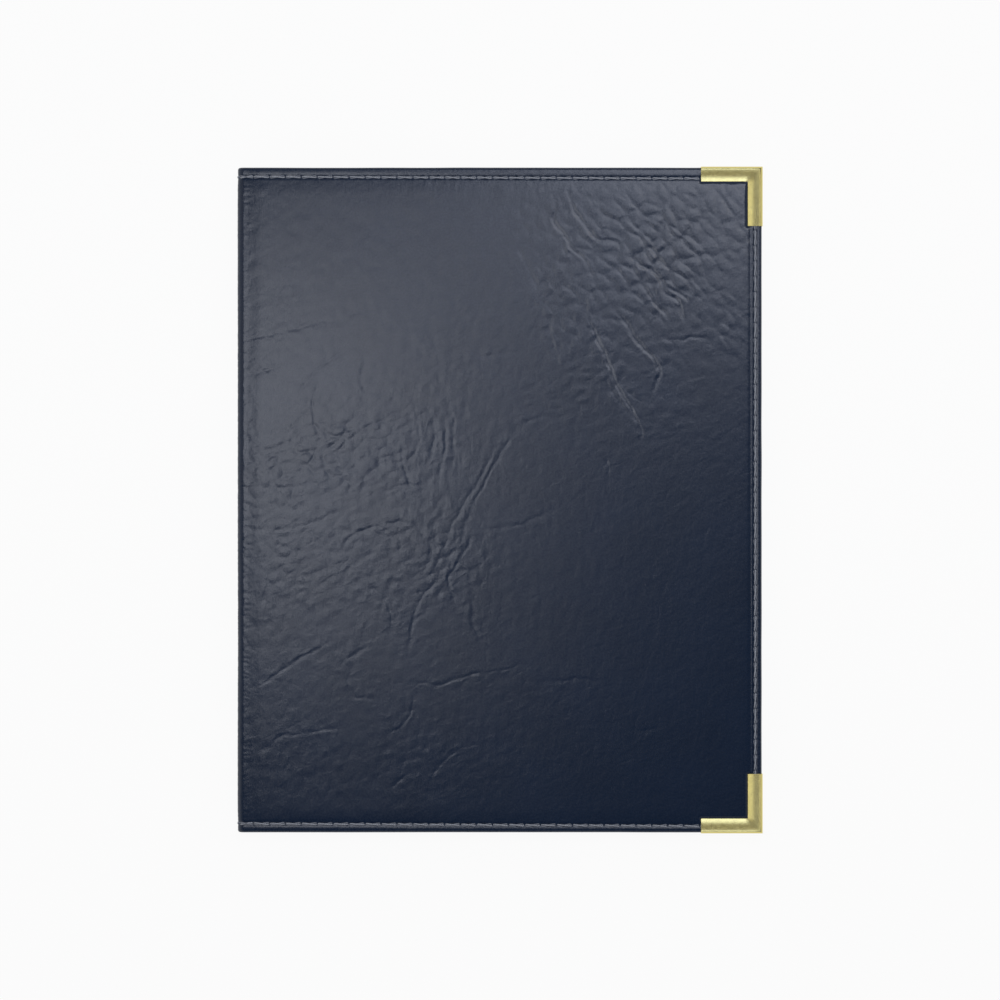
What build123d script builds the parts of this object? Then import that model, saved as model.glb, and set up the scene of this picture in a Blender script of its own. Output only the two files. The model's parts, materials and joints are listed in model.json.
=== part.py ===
# Menu cover for letter-size sheets, closed and lying on its back.
# Frame: origin at the middle of the underside, +X from the spine to the fore-edge,
# +Y from foot to head, +Z out of the front cover. Millimetres.
# Each panel is built as the back one, outer face down, and the front one is its mirror image.

import os

from build123d import *

# Outline of the leatherette, from edge to edge, and the thickness of the closed cover
LEATHER_WIDTH = 237.6
LEATHER_HEIGHT = 301.4
CLOSED_THICKNESS = 9.9

# Sheet materials, from the outside inwards
LEATHERETTE = 0.7
PADDING = 0.8
BOARD = 1.3
LINING = 0.35
FILM = 0.2

# Brass corner guards: folded sheet with a crowned outer flange and a flat inner one
BRASS_SHEET = 0.45
HEAD_LEG = 28.0
FORE_LEG = 27.0
FLANGE_REACH = 6.35
CROWN_RISE = 0.5
CROWN_FLAT = (0.85, 1.6)
FLANGE_DIG = 0.05
OUTER_ROLL = 1.3
INNER_ROLL = 0.6
INNER_PROUD = 0.2

# Turned-in edges and the spine
HEM_WIDTH = 9.5
OUTER_EDGE_RADIUS = 1.2
HEM_EDGE_RADIUS = 0.6
CREASE_RADIUS = 3.0
BOARD_SETBACK = 7.7

# Clear pocket, open towards the spine
POCKET_MOUTH_SETBACK = 10.0
POCKET_GAP = 0.35
POCKET_INSET = 1.0
BINDING_WIDTH = 8.0
BINDING_TAPE = 0.25
BINDING_END_GAP = 0.5

# Seams: distance from the leather edge to the thread, at the spine and at the fore-edge
HEAD_SEAM = (4.2, 5.1)
FOOT_SEAM = (4.1, 2.8)
FORE_SEAM = 3.0
STITCH_PITCH = 7.0
STITCH_LENGTH = 6.4
STITCH_WIDTH = 1.0
STITCH_HEIGHT = 0.5
STITCH_CHAMFER = 0.2
SHORTEST_STITCH = 2.0
GROOVE_WIDTH = 1.4
GROOVE_DEPTH = 0.35

# Room that a cutting solid takes past the faces that it cuts
PAST = 2.0

# Places that follow from the driving sizes
THREAD_PROUD = STITCH_HEIGHT - GROOVE_DEPTH
OVERALL_WIDTH = THREAD_PROUD + LEATHER_WIDTH + BRASS_SHEET
SPINE_X = THREAD_PROUD - OVERALL_WIDTH / 2
FORE_X = SPINE_X + LEATHER_WIDTH
HALF_HEIGHT = LEATHER_HEIGHT / 2
FOLD_X = SPINE_X + CREASE_RADIUS
BOARD_X = SPINE_X + BOARD_SETBACK
MOUTH_X = SPINE_X + POCKET_MOUTH_SETBACK
MIDDLE = Plane.XY.offset(CLOSED_THICKNESS / 2)

OUTER_Z = CROWN_RISE
PADDING_Z = OUTER_Z + LEATHERETTE
BOARD_Z = PADDING_Z + PADDING
LINING_Z = BOARD_Z + BOARD
FILM_Z = LINING_Z + LINING
HEM_Z = FILM_Z + FILM
INNER_Z = HEM_Z + LEATHERETTE
FOLD_STACK = 2 * LEATHERETTE + LINING
CREASE_Z = OUTER_Z + CREASE_RADIUS
SPINE_FLAT = CLOSED_THICKNESS - 2 * CREASE_Z


def block(x, y, z):
    """A box between the given low and high values on each axis."""
    size = [high - low for low, high in (x, y, z)]
    centre = [(high + low) / 2 for low, high in (x, y, z)]
    return Pos(*centre) * Box(*size)


def both_ends(solid):
    """A solid at the head together with its mirror image at the foot."""
    return solid + mirror(solid, about=Plane.XZ)


def channel_inside():
    """The space inside a corner guard, drawn as distance from the leather edge against height."""
    flat_start, flat_end = CROWN_FLAT
    low = BRASS_SHEET
    dug = OUTER_Z + FLANGE_DIG + BRASS_SHEET
    top = INNER_Z + INNER_PROUD - BRASS_SHEET
    roll = INNER_ROLL - BRASS_SHEET
    crown = TangentArc((flat_end, low), (FLANGE_REACH, dug), tangent=(1, 0))
    end = Line((FLANGE_REACH, dug), (FLANGE_REACH, top))
    flat = Line((FLANGE_REACH, top), (roll, top))
    upper_roll = TangentArc((roll, top), (0, top - roll), tangent=(-1, 0))
    web = Line((0, top - roll), (0, OUTER_ROLL))
    lower_roll = TangentArc((0, OUTER_ROLL), (flat_start, low), tangent=(0, -1))
    floor = Line((flat_start, low), (flat_end, low))
    return make_face(crown + end + flat + upper_roll + web + lower_roll + floor)


def channel_outside():
    """The same drawing of the outer surface of a corner guard."""
    flat_start, flat_end = CROWN_FLAT
    dug = OUTER_Z + FLANGE_DIG
    top = INNER_Z + INNER_PROUD
    web_x = -BRASS_SHEET
    roll_x = web_x + INNER_ROLL
    crown = TangentArc((flat_end, 0), (FLANGE_REACH, dug), tangent=(1, 0))
    end = Line((FLANGE_REACH, dug), (FLANGE_REACH, top))
    flat = Line((FLANGE_REACH, top), (roll_x, top))
    upper_roll = TangentArc((roll_x, top), (web_x, top - INNER_ROLL), tangent=(-1, 0))
    web = Line((web_x, top - INNER_ROLL), (web_x, OUTER_ROLL))
    lower_roll = TangentArc((web_x, OUTER_ROLL), (flat_start, 0), tangent=(0, -1))
    floor = Line((flat_start, 0), (flat_end, 0))
    return make_face(crown + end + flat + upper_roll + web + lower_roll + floor)


def mitred_leg(section, length):
    """One leg of a corner along the head edge, cut at 45 degrees, with the leather corner at 0, 0."""
    across = Plane(origin=(BRASS_SHEET, 0, 0), x_dir=(0, -1, 0), z_dir=(-1, 0, 0))
    leg = extrude(across * section, length)
    far = HEAD_LEG + PAST
    triangle = Polygon((PAST, PAST), (-far, PAST), (-far, -far), align=None)
    return leg & (Pos(0, 0, -PAST) * extrude(triangle, CLOSED_THICKNESS + 2 * PAST))


def head_corner_from(section):
    """Both legs of the head corner of the back panel, for a section through one leg."""
    diagonal = Plane(origin=(0, 0, 0), x_dir=(0, 0, 1), z_dir=(1, -1, 0))
    head_leg = mitred_leg(section, HEAD_LEG)
    fore_leg = mirror(mitred_leg(section, FORE_LEG), about=diagonal)
    return Pos(FORE_X, HALF_HEIGHT, 0) * (head_leg + fore_leg)


def corner_guard():
    """The folded brass guard at the head of the back panel."""
    return head_corner_from(channel_outside() - channel_inside())


def corner_bite():
    """What the guard takes away from the leatherette: all that isn't inside its channel."""
    low = -PAST
    high = CLOSED_THICKNESS / 2 + PAST
    around = Pos((FLANGE_REACH + low) / 2, (high + low) / 2) * Rectangle(FLANGE_REACH - low, high - low)
    return head_corner_from(around - channel_inside())


def seam_lines():
    """Both ends of each seam, as places on the panel, from the spine or from the foot."""
    head_start, head_end = HEAD_SEAM
    foot_start, foot_end = FOOT_SEAM
    fore_seam_x = FORE_X - FORE_SEAM
    return {
        "head": ((FOLD_X, HALF_HEIGHT - head_start), (fore_seam_x, HALF_HEIGHT - head_end)),
        "foot": ((FOLD_X, foot_start - HALF_HEIGHT), (fore_seam_x, foot_end - HALF_HEIGHT)),
        "fore": ((fore_seam_x, foot_end - HALF_HEIGHT), (fore_seam_x, HALF_HEIGHT - head_end)),
    }


def along_seam(start, end):
    """The place and the unit direction of a seam, as a plane whose X axis runs along it."""
    direction = (Vector(*end) - Vector(*start)).normalized()
    return Plane(origin=start, x_dir=direction, z_dir=(0, 0, 1))


def seam_grooves(floor_z, face_z):
    """The shallow channels that the rows of stitches draw into a face."""
    cuts = []
    for start, end in seam_lines().values():
        length = (Vector(*end) - Vector(*start)).length
        past_z = face_z + (face_z - floor_z)
        cut = block((0, length), (-GROOVE_WIDTH / 2, GROOVE_WIDTH / 2), sorted((floor_z, past_z)))
        cuts.append(along_seam(start, end) * cut)
    return cuts


def stitch(length, base_z, up):
    """One stitch from 0 along X, flat on the groove floor, with its upper long edges chamfered."""
    bar = block((0, length), (-STITCH_WIDTH / 2, STITCH_WIDTH / 2), (0, STITCH_HEIGHT))
    upper_edges = bar.edges().filter_by(Axis.X).group_by(Axis.Z)[-1]
    rounded = chamfer(upper_edges, STITCH_CHAMFER)
    if up < 0:
        rounded = mirror(rounded, about=Plane.XY)
    return Pos(0, 0, base_z) * rounded


def stitch_row(start, end, first, last, base_z, up):
    """Stitches along a seam, at one pitch, between two distances from its start."""
    plane = along_seam(start, end)
    whole = stitch(STITCH_LENGTH, base_z, up)
    row = []
    at = first
    while last - at > SHORTEST_STITCH:
        fits = last - at >= STITCH_LENGTH
        piece = whole if fits else stitch(last - at, base_z, up)
        row.append(plane * Pos(at, 0, 0) * piece)
        at += STITCH_PITCH
    return row


def panel_thread(base_z, up):
    """All the stitches on one face of the back panel, up to the corner guards."""
    lines = seam_lines()
    gap = STITCH_PITCH - STITCH_LENGTH
    head_stop = FORE_X + BRASS_SHEET - HEAD_LEG - FOLD_X - gap / 2
    fore_start, fore_end = lines["fore"]
    foot_y = FORE_LEG - BRASS_SHEET - HALF_HEIGHT
    first = foot_y - fore_start[1] + gap / 2
    last = -foot_y - fore_start[1] - gap / 2
    stitches = []
    for name in ("head", "foot"):
        stitches += stitch_row(*lines[name], gap / 2, head_stop, base_z, up)
    stitches += stitch_row(fore_start, fore_end, first, last, base_z, up)
    return Compound(children=stitches)


def fold_section():
    """The sheet across the folds, as length along the spine against depth from the outer face."""
    whole = Pos(0, FOLD_STACK / 2) * RectangleRounded(LEATHER_HEIGHT, FOLD_STACK, HEM_EDGE_RADIUS)
    slot = Pos(0, LEATHERETTE + LINING / 2) * Rectangle(LEATHER_HEIGHT - 2 * LEATHERETTE, LINING)
    hem_depth = LEATHERETTE + PAST
    window_y = LEATHERETTE + LINING + hem_depth / 2
    window = Pos(0, window_y) * Rectangle(LEATHER_HEIGHT - 2 * HEM_WIDTH, hem_depth)
    head_groove = Pos(HALF_HEIGHT - HEAD_SEAM[0], 0) * Rectangle(GROOVE_WIDTH, 2 * GROOVE_DEPTH)
    foot_groove = Pos(FOOT_SEAM[0] - HALF_HEIGHT, 0) * Rectangle(GROOVE_WIDTH, 2 * GROOVE_DEPTH)
    return whole - slot - window - head_groove - foot_groove


def lining_section():
    """The lining in the same drawing."""
    return Pos(0, LEATHERETTE + LINING / 2) * Rectangle(LEATHER_HEIGHT - 2 * LEATHERETTE, LINING)


def thread_section():
    """The two stitches that cross the spine, one at each end, in the same drawing."""
    depth = GROOVE_DEPTH - STITCH_HEIGHT / 2
    one = Rectangle(STITCH_WIDTH, STITCH_HEIGHT)
    head = Pos(HALF_HEIGHT - HEAD_SEAM[0], depth) * one
    foot = Pos(FOOT_SEAM[0] - HALF_HEIGHT, depth) * one
    return head + foot


def low_zone(section, far_x):
    """A section laid flat from the back crease up to a distance along the panel."""
    across = Plane(origin=(FOLD_X, 0, OUTER_Z), x_dir=(0, 1, 0), z_dir=(1, 0, 0))
    return extrude(across * section, far_x - FOLD_X)


def crease(section):
    """A section turned through the quarter bend between the back panel and the spine."""
    across = Plane(origin=(FOLD_X, 0, OUTER_Z), x_dir=(0, 1, 0), z_dir=(1, 0, 0))
    bend_axis = Axis((FOLD_X, 0, CREASE_Z), (0, 1, 0))
    return revolve(across * section, bend_axis, 90)


def spine_strip(section):
    """A section run up the straight part of the spine."""
    across = Plane(origin=(SPINE_X, 0, CREASE_Z), x_dir=(0, 1, 0), z_dir=(0, 0, -1))
    return extrude(across * section, -SPINE_FLAT)


def leatherette():
    """The sheet round the board of the back panel, with its hem on three sides."""
    riser_x = BOARD_X - LINING - LEATHERETTE
    full_y = (-HALF_HEIGHT, HALF_HEIGHT)
    slab = block((riser_x, FORE_X), full_y, (OUTER_Z, INNER_Z))
    for level, radius in ((0, OUTER_EDGE_RADIUS), (-1, HEM_EDGE_RADIUS)):
        rim = slab.edges().filter_by(Axis.X).group_by(Axis.Z)[level]
        fore = slab.edges().filter_by(Axis.Y).group_by(Axis.X)[-1].sort_by(Axis.Z)[level]
        slab = fillet(rim + [fore], radius)
    inner_half = HALF_HEIGHT - LEATHERETTE
    window_half = HALF_HEIGHT - HEM_WIDTH
    cavity = block((riser_x - PAST, FORE_X - LEATHERETTE), (-inner_half, inner_half), (PADDING_Z, HEM_Z))
    window_x = (riser_x - PAST, FORE_X - HEM_WIDTH)
    window = block(window_x, (-window_half, window_half), (FILM_Z, INNER_Z + PAST))
    riser = block((riser_x, riser_x + LEATHERETTE), (window_half, inner_half), (PADDING_Z + LINING, HEM_Z))
    sheet = slab - cavity - window + both_ends(riser)
    sheet += low_zone(fold_section(), riser_x)
    outer_grooves = seam_grooves(OUTER_Z + GROOVE_DEPTH, OUTER_Z)
    inner_grooves = seam_grooves(INNER_Z - GROOVE_DEPTH, INNER_Z)
    for cut in outer_grooves + inner_grooves:
        sheet -= cut
    return sheet - both_ends(corner_bite())


def board_stack(low, high):
    """A plain rectangle of padding or board between two heights."""
    inner_half = HALF_HEIGHT - LEATHERETTE
    return block((BOARD_X, FORE_X - LEATHERETTE), (-inner_half, inner_half), (low, high))


def lining():
    """The lining of the back panel: over the board, down its spine edge and out to the crease."""
    inner_half = HALF_HEIGHT - LEATHERETTE
    full_y = (-inner_half, inner_half)
    over = block((BOARD_X - LINING, FORE_X - LEATHERETTE), full_y, (LINING_Z, FILM_Z))
    down = block((BOARD_X - LINING, BOARD_X), full_y, (PADDING_Z, FILM_Z))
    out = block((FOLD_X, BOARD_X), full_y, (PADDING_Z, PADDING_Z + LINING))
    return over + down + out


def pocket_film():
    """The clear film: a rim held under the hem, and a raised window that leaves room for a sheet."""
    window_half = HALF_HEIGHT - HEM_WIDTH - POCKET_INSET
    window_x = FORE_X - HEM_WIDTH - POCKET_INSET
    inner_half = HALF_HEIGHT - LEATHERETTE
    raised_top = FILM_Z + POCKET_GAP + FILM
    mouth = MOUTH_X + BINDING_TAPE
    rim = block((mouth, FORE_X - LEATHERETTE), (-inner_half, inner_half), (FILM_Z, HEM_Z))
    tray = block((mouth, window_x), (-window_half, window_half), (FILM_Z, raised_top))
    room = block(
        (mouth - PAST, window_x - FILM),
        (FILM - window_half, window_half - FILM),
        (FILM_Z - PAST, raised_top - FILM),
    )
    return rim + tray - room


def pocket_binding():
    """The folded tape on the open edge of the film."""
    half = HALF_HEIGHT - HEM_WIDTH - POCKET_INSET - BINDING_END_GAP
    film_low = FILM_Z + POCKET_GAP
    film_high = film_low + FILM
    folded = block(
        (MOUTH_X, MOUTH_X + BINDING_WIDTH),
        (-half, half),
        (film_low - BINDING_TAPE, film_high + BINDING_TAPE),
    )
    slot_x = (MOUTH_X + BINDING_TAPE, MOUTH_X + BINDING_WIDTH + PAST)
    return folded - block(slot_x, (-half, half), (film_low, film_high))


def back_panel():
    """Every node of the back panel and of its crease, by the name it has without the side."""
    guard = corner_guard()
    return {
        "leatherette": leatherette(),
        "padding": board_stack(PADDING_Z, BOARD_Z),
        "board": board_stack(BOARD_Z, LINING_Z),
        "lining": lining(),
        "pocket_film": pocket_film(),
        "pocket_binding": pocket_binding(),
        "head_corner": guard,
        "foot_corner": mirror(guard, about=Plane.XZ),
        "needle_thread": panel_thread(OUTER_Z + GROOVE_DEPTH, -1),
        "bobbin_thread": panel_thread(INNER_Z - GROOVE_DEPTH, 1),
        "crease_leatherette": crease(fold_section()),
        "crease_lining": crease(lining_section()),
        "crease_thread": crease(thread_section()),
    }


def spine():
    """The straight strip between the two creases."""
    return {
        "spine_leatherette": spine_strip(fold_section()),
        "spine_lining": spine_strip(lining_section()),
        "spine_thread": spine_strip(thread_section()),
    }


def all_nodes():
    """The whole closed cover, node by node."""
    nodes = spine()
    for name, shape in back_panel().items():
        nodes["back_" + name] = shape
        nodes["front_" + name] = mirror(shape, about=MIDDLE)
    return nodes


os.makedirs("parts", exist_ok=True)
for node, shape in all_nodes().items():
    export_step(shape, f"parts/{node}.step")
    volume = sum(solid.volume for solid in shape.solids())
    print(f"{node}: {len(shape.solids())} solids, {volume:.1f} cubic millimetres")
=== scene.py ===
import functools
import json
import math

import bpy
import numpy as np
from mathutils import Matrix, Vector

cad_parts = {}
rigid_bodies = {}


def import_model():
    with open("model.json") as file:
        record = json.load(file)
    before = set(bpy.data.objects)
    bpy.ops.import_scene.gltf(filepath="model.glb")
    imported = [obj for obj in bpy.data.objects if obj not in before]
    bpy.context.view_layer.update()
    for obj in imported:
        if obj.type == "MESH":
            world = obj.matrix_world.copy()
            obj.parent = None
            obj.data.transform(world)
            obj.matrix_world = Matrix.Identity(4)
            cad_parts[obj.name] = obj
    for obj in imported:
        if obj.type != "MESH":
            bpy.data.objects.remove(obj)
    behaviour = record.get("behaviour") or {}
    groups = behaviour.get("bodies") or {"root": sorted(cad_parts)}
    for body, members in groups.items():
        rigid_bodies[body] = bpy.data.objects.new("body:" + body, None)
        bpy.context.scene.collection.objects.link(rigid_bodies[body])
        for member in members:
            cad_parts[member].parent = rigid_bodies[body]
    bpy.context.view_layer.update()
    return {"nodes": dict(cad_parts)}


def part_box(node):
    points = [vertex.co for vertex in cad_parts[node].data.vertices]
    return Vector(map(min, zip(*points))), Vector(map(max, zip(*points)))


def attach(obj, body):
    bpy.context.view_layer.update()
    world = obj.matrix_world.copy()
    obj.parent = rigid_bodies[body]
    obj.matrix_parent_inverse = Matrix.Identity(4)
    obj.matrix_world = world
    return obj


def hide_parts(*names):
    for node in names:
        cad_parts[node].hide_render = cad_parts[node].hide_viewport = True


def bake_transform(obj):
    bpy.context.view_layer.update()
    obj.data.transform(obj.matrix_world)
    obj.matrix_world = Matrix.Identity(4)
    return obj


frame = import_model()


# Binder's boards
# A sheet of dense grey board stiffens each cover. It is cut from rolled pulp board with a
# guillotine, and its edge stops short of the spine so that the cover can fold.

MM = 0.001


def box_mm(node):
    """Lowest and highest corner of a CAD node, in millimetres."""
    low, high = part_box(node)
    return Vector(low) / MM, Vector(high) / MM


def linear(hex_colour):
    """An sRGB hex colour as linear red, green and blue, with alpha 1."""
    channels = [int(hex_colour[at:at + 2], 16) / 255 for at in (1, 3, 5)]
    return [c / 12.92 if c <= 0.04045 else ((c + 0.055) / 1.055) ** 2.4 for c in channels] + [1.0]


def first_enabled(sockets, name=None):
    """The first socket in use, or the first one in use that has the name."""
    return next(s for s in sockets if s.enabled and name in (None, s.name))


def add_node(tree, kind, inputs=None, **settings):
    """Adds a node, sets its properties, and gives its inputs values, sockets or whole nodes."""
    made = tree.nodes.new(kind)
    for name, value in settings.items():
        setattr(made, name, value)
    for name, value in (inputs or {}).items():
        socket = first_enabled(made.inputs, name) if isinstance(name, str) else made.inputs[name]
        if isinstance(value, bpy.types.Node):
            value = first_enabled(value.outputs)
        if isinstance(value, bpy.types.NodeSocket):
            tree.links.new(value, socket)
        else:
            socket.default_value = value
    return made


def new_material(name, surface):
    """A material whose Principled shader has the given inputs; surface fills them for its tree."""
    material = bpy.data.materials.new(name)
    material.use_nodes = True
    tree = material.node_tree
    tree.nodes.clear()
    shader = add_node(tree, "ShaderNodeBsdfPrincipled", surface(tree))
    add_node(tree, "ShaderNodeOutputMaterial", {"Surface": shader})
    return material


def pulp_board(tree):
    """Matte grey pulp with short darker fibres pressed into it."""
    place = add_node(tree, "ShaderNodeTexCoord").outputs["Object"]
    drawn_out = add_node(tree, "ShaderNodeMapping", {"Vector": place, "Scale": (1.0, 4.0, 4.0)})
    fibres = add_node(tree, "ShaderNodeTexNoise", {"Vector": drawn_out, "Scale": 0.9 / MM, "Detail": 4.0})
    colour = add_node(
        tree, "ShaderNodeMix",
        {"Factor": fibres, "A": linear("#6E6A60"), "B": linear("#8F8A7E")},
        data_type="RGBA",
    )
    relief = add_node(tree, "ShaderNodeBump", {"Height": fibres, "Strength": 0.3, "Distance": 0.1 * MM})
    return {"Base Color": colour, "Roughness": 0.9, "Normal": relief}


grey_board = new_material("grey_pulp_board", pulp_board)
for side in ("back", "front"):
    board = frame["nodes"][f"{side}_board"]
    board.data.materials.clear()
    board.data.materials.append(grey_board)


# Foam padding
# A thin sheet of pale polyurethane foam is glued to the outer face of each board. It gives the
# cover its soft feel and the rounded edge.

leather_low, leather_high = box_mm("back_leatherette")
padding_low, padding_high = box_mm("back_padding")
crease_low, crease_high = box_mm("back_crease_leatherette")
front_high = box_mm("front_leatherette")[1]

SPINE_X = crease_low.x
FOLD_X = crease_high.x
FORE_X = leather_high.x
BOARD_X = padding_low.x
HALF_HEIGHT = leather_high.y
OUTER_Z = leather_low.z
LEATHER = padding_low.z - leather_low.z
BOARD_TOP = box_mm("back_board")[1].z - OUTER_Z
CREASE_RADIUS = FOLD_X - SPINE_X
MIDDLE_Z = (OUTER_Z + front_high.z) / 2

# The leatherette sinks a little where no board carries it, beside the spine
SINK = 0.35
SINK_REACH = 11.5
SINK_MARGIN = 0.5


def smooth_step(values, low, high):
    """0 below low, 1 above high and a smooth rise between them."""
    share = np.clip((np.asarray(values, float) - low) / (high - low), 0, 1)
    return share * share * (3 - 2 * share)


def sink(s):
    """How far the outer face lies below the flat of the cover, for a place on the unrolled sheet."""
    arc_end = FOLD_X - CREASE_RADIUS * math.pi / 2
    down = smooth_step(-np.asarray(s, float), -(SPINE_X + SINK_REACH), -(FOLD_X + SINK_MARGIN))
    back_up = smooth_step(s, arc_end, FOLD_X - SINK_MARGIN)
    return SINK * down * back_up


def in_frame(points, side):
    """Points given as x, y and depth from a cover's outer face, in the row frame, in metres."""
    placed = np.array(points, float).reshape(-1, 3)
    if side == "back":
        placed[:, 2] += OUTER_Z
    else:
        placed[:, 2] = 2 * MIDDLE_Z - OUTER_Z - placed[:, 2]
    return placed * MM


def make_piece(name, points, faces, side, material, crease_angle=50):
    """A mesh object whose faces point outwards, smooth but for edges sharper than the angle."""
    placed = in_frame(points, side)
    corners = [[face[0], face[at], face[at + 1]] for face in faces for at in range(1, len(face) - 1)]
    a, b, c = (placed[[corner[k] for corner in corners]] for k in range(3))
    if (a * np.cross(b, c)).sum() < 0:
        faces = [list(reversed(face)) for face in faces]
    mesh = bpy.data.meshes.new(name)
    mesh.from_pydata(placed.tolist(), [], [list(face) for face in faces])
    mesh.polygons.foreach_set("use_smooth", [True] * len(mesh.polygons))
    mesh.set_sharp_from_angle(angle=math.radians(crease_angle))
    mesh.materials.append(material)
    piece = bpy.data.objects.new(name, mesh)
    bpy.context.scene.collection.objects.link(piece)
    return piece


def slab(xs, ys, top, bottom):
    """Points and faces of a closed plate over a grid, between two depths at each grid point."""
    grid_x, grid_y = np.meshgrid(xs, ys, indexing="ij")
    layers = [np.stack([grid_x, grid_y, depth], -1).reshape(-1, 3) for depth in (top, bottom)]
    n, m = grid_x.shape
    index = np.arange(n * m).reshape(n, m)
    faces = []
    for i in range(n - 1):
        for j in range(m - 1):
            quad = [index[i, j], index[i + 1, j], index[i + 1, j + 1], index[i, j + 1]]
            faces.append(quad)
            faces.append([q + n * m for q in reversed(quad)])
    rim = list(index[:, 0]) + list(index[-1, 1:]) + list(index[-2::-1, -1]) + list(index[0, -2:0:-1])
    for start, end in zip(rim, rim[1:] + rim[:1]):
        faces.append([end, start, start + n * m, end + n * m])
    return np.concatenate(layers), faces


def foam(tree):
    """Open-celled foam: pale, matte, pitted by cells of about half a millimetre."""
    place = add_node(tree, "ShaderNodeTexCoord").outputs["Object"]
    cells = add_node(tree, "ShaderNodeTexVoronoi", {"Vector": place, "Scale": 2.0 / MM})
    relief = add_node(tree, "ShaderNodeBump", {"Height": cells, "Strength": 0.6, "Distance": 0.2 * MM})
    colour = add_node(
        tree, "ShaderNodeMix",
        {"Factor": cells, "A": linear("#D9D4C4"), "B": linear("#B4AE9C")},
        data_type="RGBA",
    )
    return {"Base Color": colour, "Roughness": 0.95, "Normal": relief}


pale_foam = new_material("pale_polyurethane_foam", foam)
for side in ("back", "front"):
    foam_x = np.linspace(BOARD_X, padding_high.x, 60)
    foam_y = np.linspace(padding_low.y, padding_high.y, 40)
    surface = np.repeat((LEATHER + sink(foam_x))[:, None], len(foam_y), 1)
    underside = np.full_like(surface, padding_high.z - OUTER_Z)
    padding = make_piece(f"{side}_foam_padding", *slab(foam_x, foam_y, surface, underside), side, pale_foam)
    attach(padding, f"{side}_panel")
    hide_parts(f"{side}_padding")


# Lining
# Black book cloth covers the inner side of each board and runs through the spine in one piece.
# It is a fine plain weave backed with paper and glued down, and it drops off the board's edge.

LINING = box_mm("back_lining")[1].z - OUTER_Z - BOARD_TOP
PAST_FOLD = 2.0
CUT_X = FOLD_X + PAST_FOLD
FOLD_STACK = 2 * LEATHER + LINING
FLAT_SPINE = MIDDLE_Z - OUTER_Z - CREASE_RADIUS
ARC = CREASE_RADIUS * math.pi / 2

# Places along the unrolled sheets, from the cover round the fold to the middle of the spine
STATIONS = np.concatenate([
    np.linspace(CUT_X - FOLD_X, 0, 5)[:-1],
    -np.linspace(0, ARC, 13),
    -np.linspace(ARC, ARC + FLAT_SPINE, 5)[1:],
]) + FOLD_X


def board_step(s):
    """0 in the fold and 1 over the board: how far what lies inside has climbed the board's edge."""
    return smooth_step(s, CUT_X, BOARD_X - 0.05)


def fold_point(s, depth):
    """Where a depth below the outer face lies, as x and depth from the cover's flat."""
    along = FOLD_X - s
    if along <= 0:
        return s, depth
    if along <= ARC:
        turn = along / CREASE_RADIUS
        reach = CREASE_RADIUS - depth
        return FOLD_X - reach * math.sin(turn), CREASE_RADIUS - reach * math.cos(turn)
    return SPINE_X + depth, CREASE_RADIUS + along - ARC


def closed_sweep(rings):
    """Points and faces of a solid that joins a row of closed rings and closes both ends."""
    count, around = len(rings), len(rings[0])
    points = np.concatenate([np.asarray(ring, float) for ring in rings])
    faces = [list(range(around))[::-1], [(count - 1) * around + k for k in range(around)]]
    for ring in range(count - 1):
        for k in range(around):
            a, b = ring * around + k, ring * around + (k + 1) % around
            faces.append([a, b, b + around, a + around])
    return points, faces


def lining_top(s):
    """Depth of the lining's inner face."""
    in_fold = LEATHER + LINING + sink(s)
    return in_fold + (BOARD_TOP + LINING - in_fold) * board_step(s)


def book_cloth(tree):
    """Black starched cotton: a plain weave, drawn at 10 threads to the centimetre so that it shows."""
    place = add_node(tree, "ShaderNodeTexCoord").outputs["Object"]
    threads = {"Vector": place, "Scale": 0.32 / MM, "Distortion": 0.4}
    warp = add_node(tree, "ShaderNodeTexWave", threads, bands_direction="X")
    weft = add_node(tree, "ShaderNodeTexWave", threads, bands_direction="Y")
    weave = add_node(tree, "ShaderNodeMath", {0: warp, 1: weft}, operation="MULTIPLY")
    relief = add_node(tree, "ShaderNodeBump", {"Height": weave, "Strength": 0.5, "Distance": 0.12 * MM})
    colour = add_node(
        tree, "ShaderNodeMix",
        {"Factor": weave, "A": linear("#0C0C0E"), "B": linear("#1D1D20")},
        data_type="RGBA",
    )
    return {"Base Color": colour, "Roughness": 0.75, "Normal": relief}


black_cloth = new_material("black_book_cloth", book_cloth)
cloth_y = np.linspace(padding_low.y, padding_high.y, 31)
for side in ("back", "front"):
    at_step = np.linspace(CUT_X, BOARD_X + 0.6, 12)
    over_x = np.concatenate([at_step, np.linspace(BOARD_X + 8, padding_high.x, 28)])
    inner = lining_top(over_x)
    outer = np.maximum(inner - LINING, LEATHER + sink(over_x))
    plate = slab(over_x, cloth_y, *(np.repeat(depth[:, None], len(cloth_y), 1) for depth in (outer, inner)))
    panel_cloth = make_piece(f"{side}_panel_lining", *plate, side, black_cloth)
    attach(panel_cloth, f"{side}_panel")
    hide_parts(f"{side}_lining")

    rings = []
    for s in STATIONS:
        low_x, low_depth = fold_point(s, LEATHER + float(sink(s)))
        high_x, high_depth = fold_point(s, LEATHER + LINING + float(sink(s)))
        outer_line = [(low_x, y, low_depth) for y in cloth_y]
        inner_line = [(high_x, y, high_depth) for y in cloth_y[::-1]]
        rings.append(outer_line + inner_line)
    fold_cloth = make_piece(f"{side}_fold_lining", *closed_sweep(rings), side, black_cloth)
    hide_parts(f"{side}_crease_lining", "spine_lining")

FOLD_LINING = {side: bpy.data.objects[f"{side}_fold_lining"] for side in ("back", "front")}


# Clear pockets
# Each cover holds a menu sheet behind clear film. The film is caught in the seam on three
# sides and stands open towards the spine, where a folded black tape binds its edge.

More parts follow.
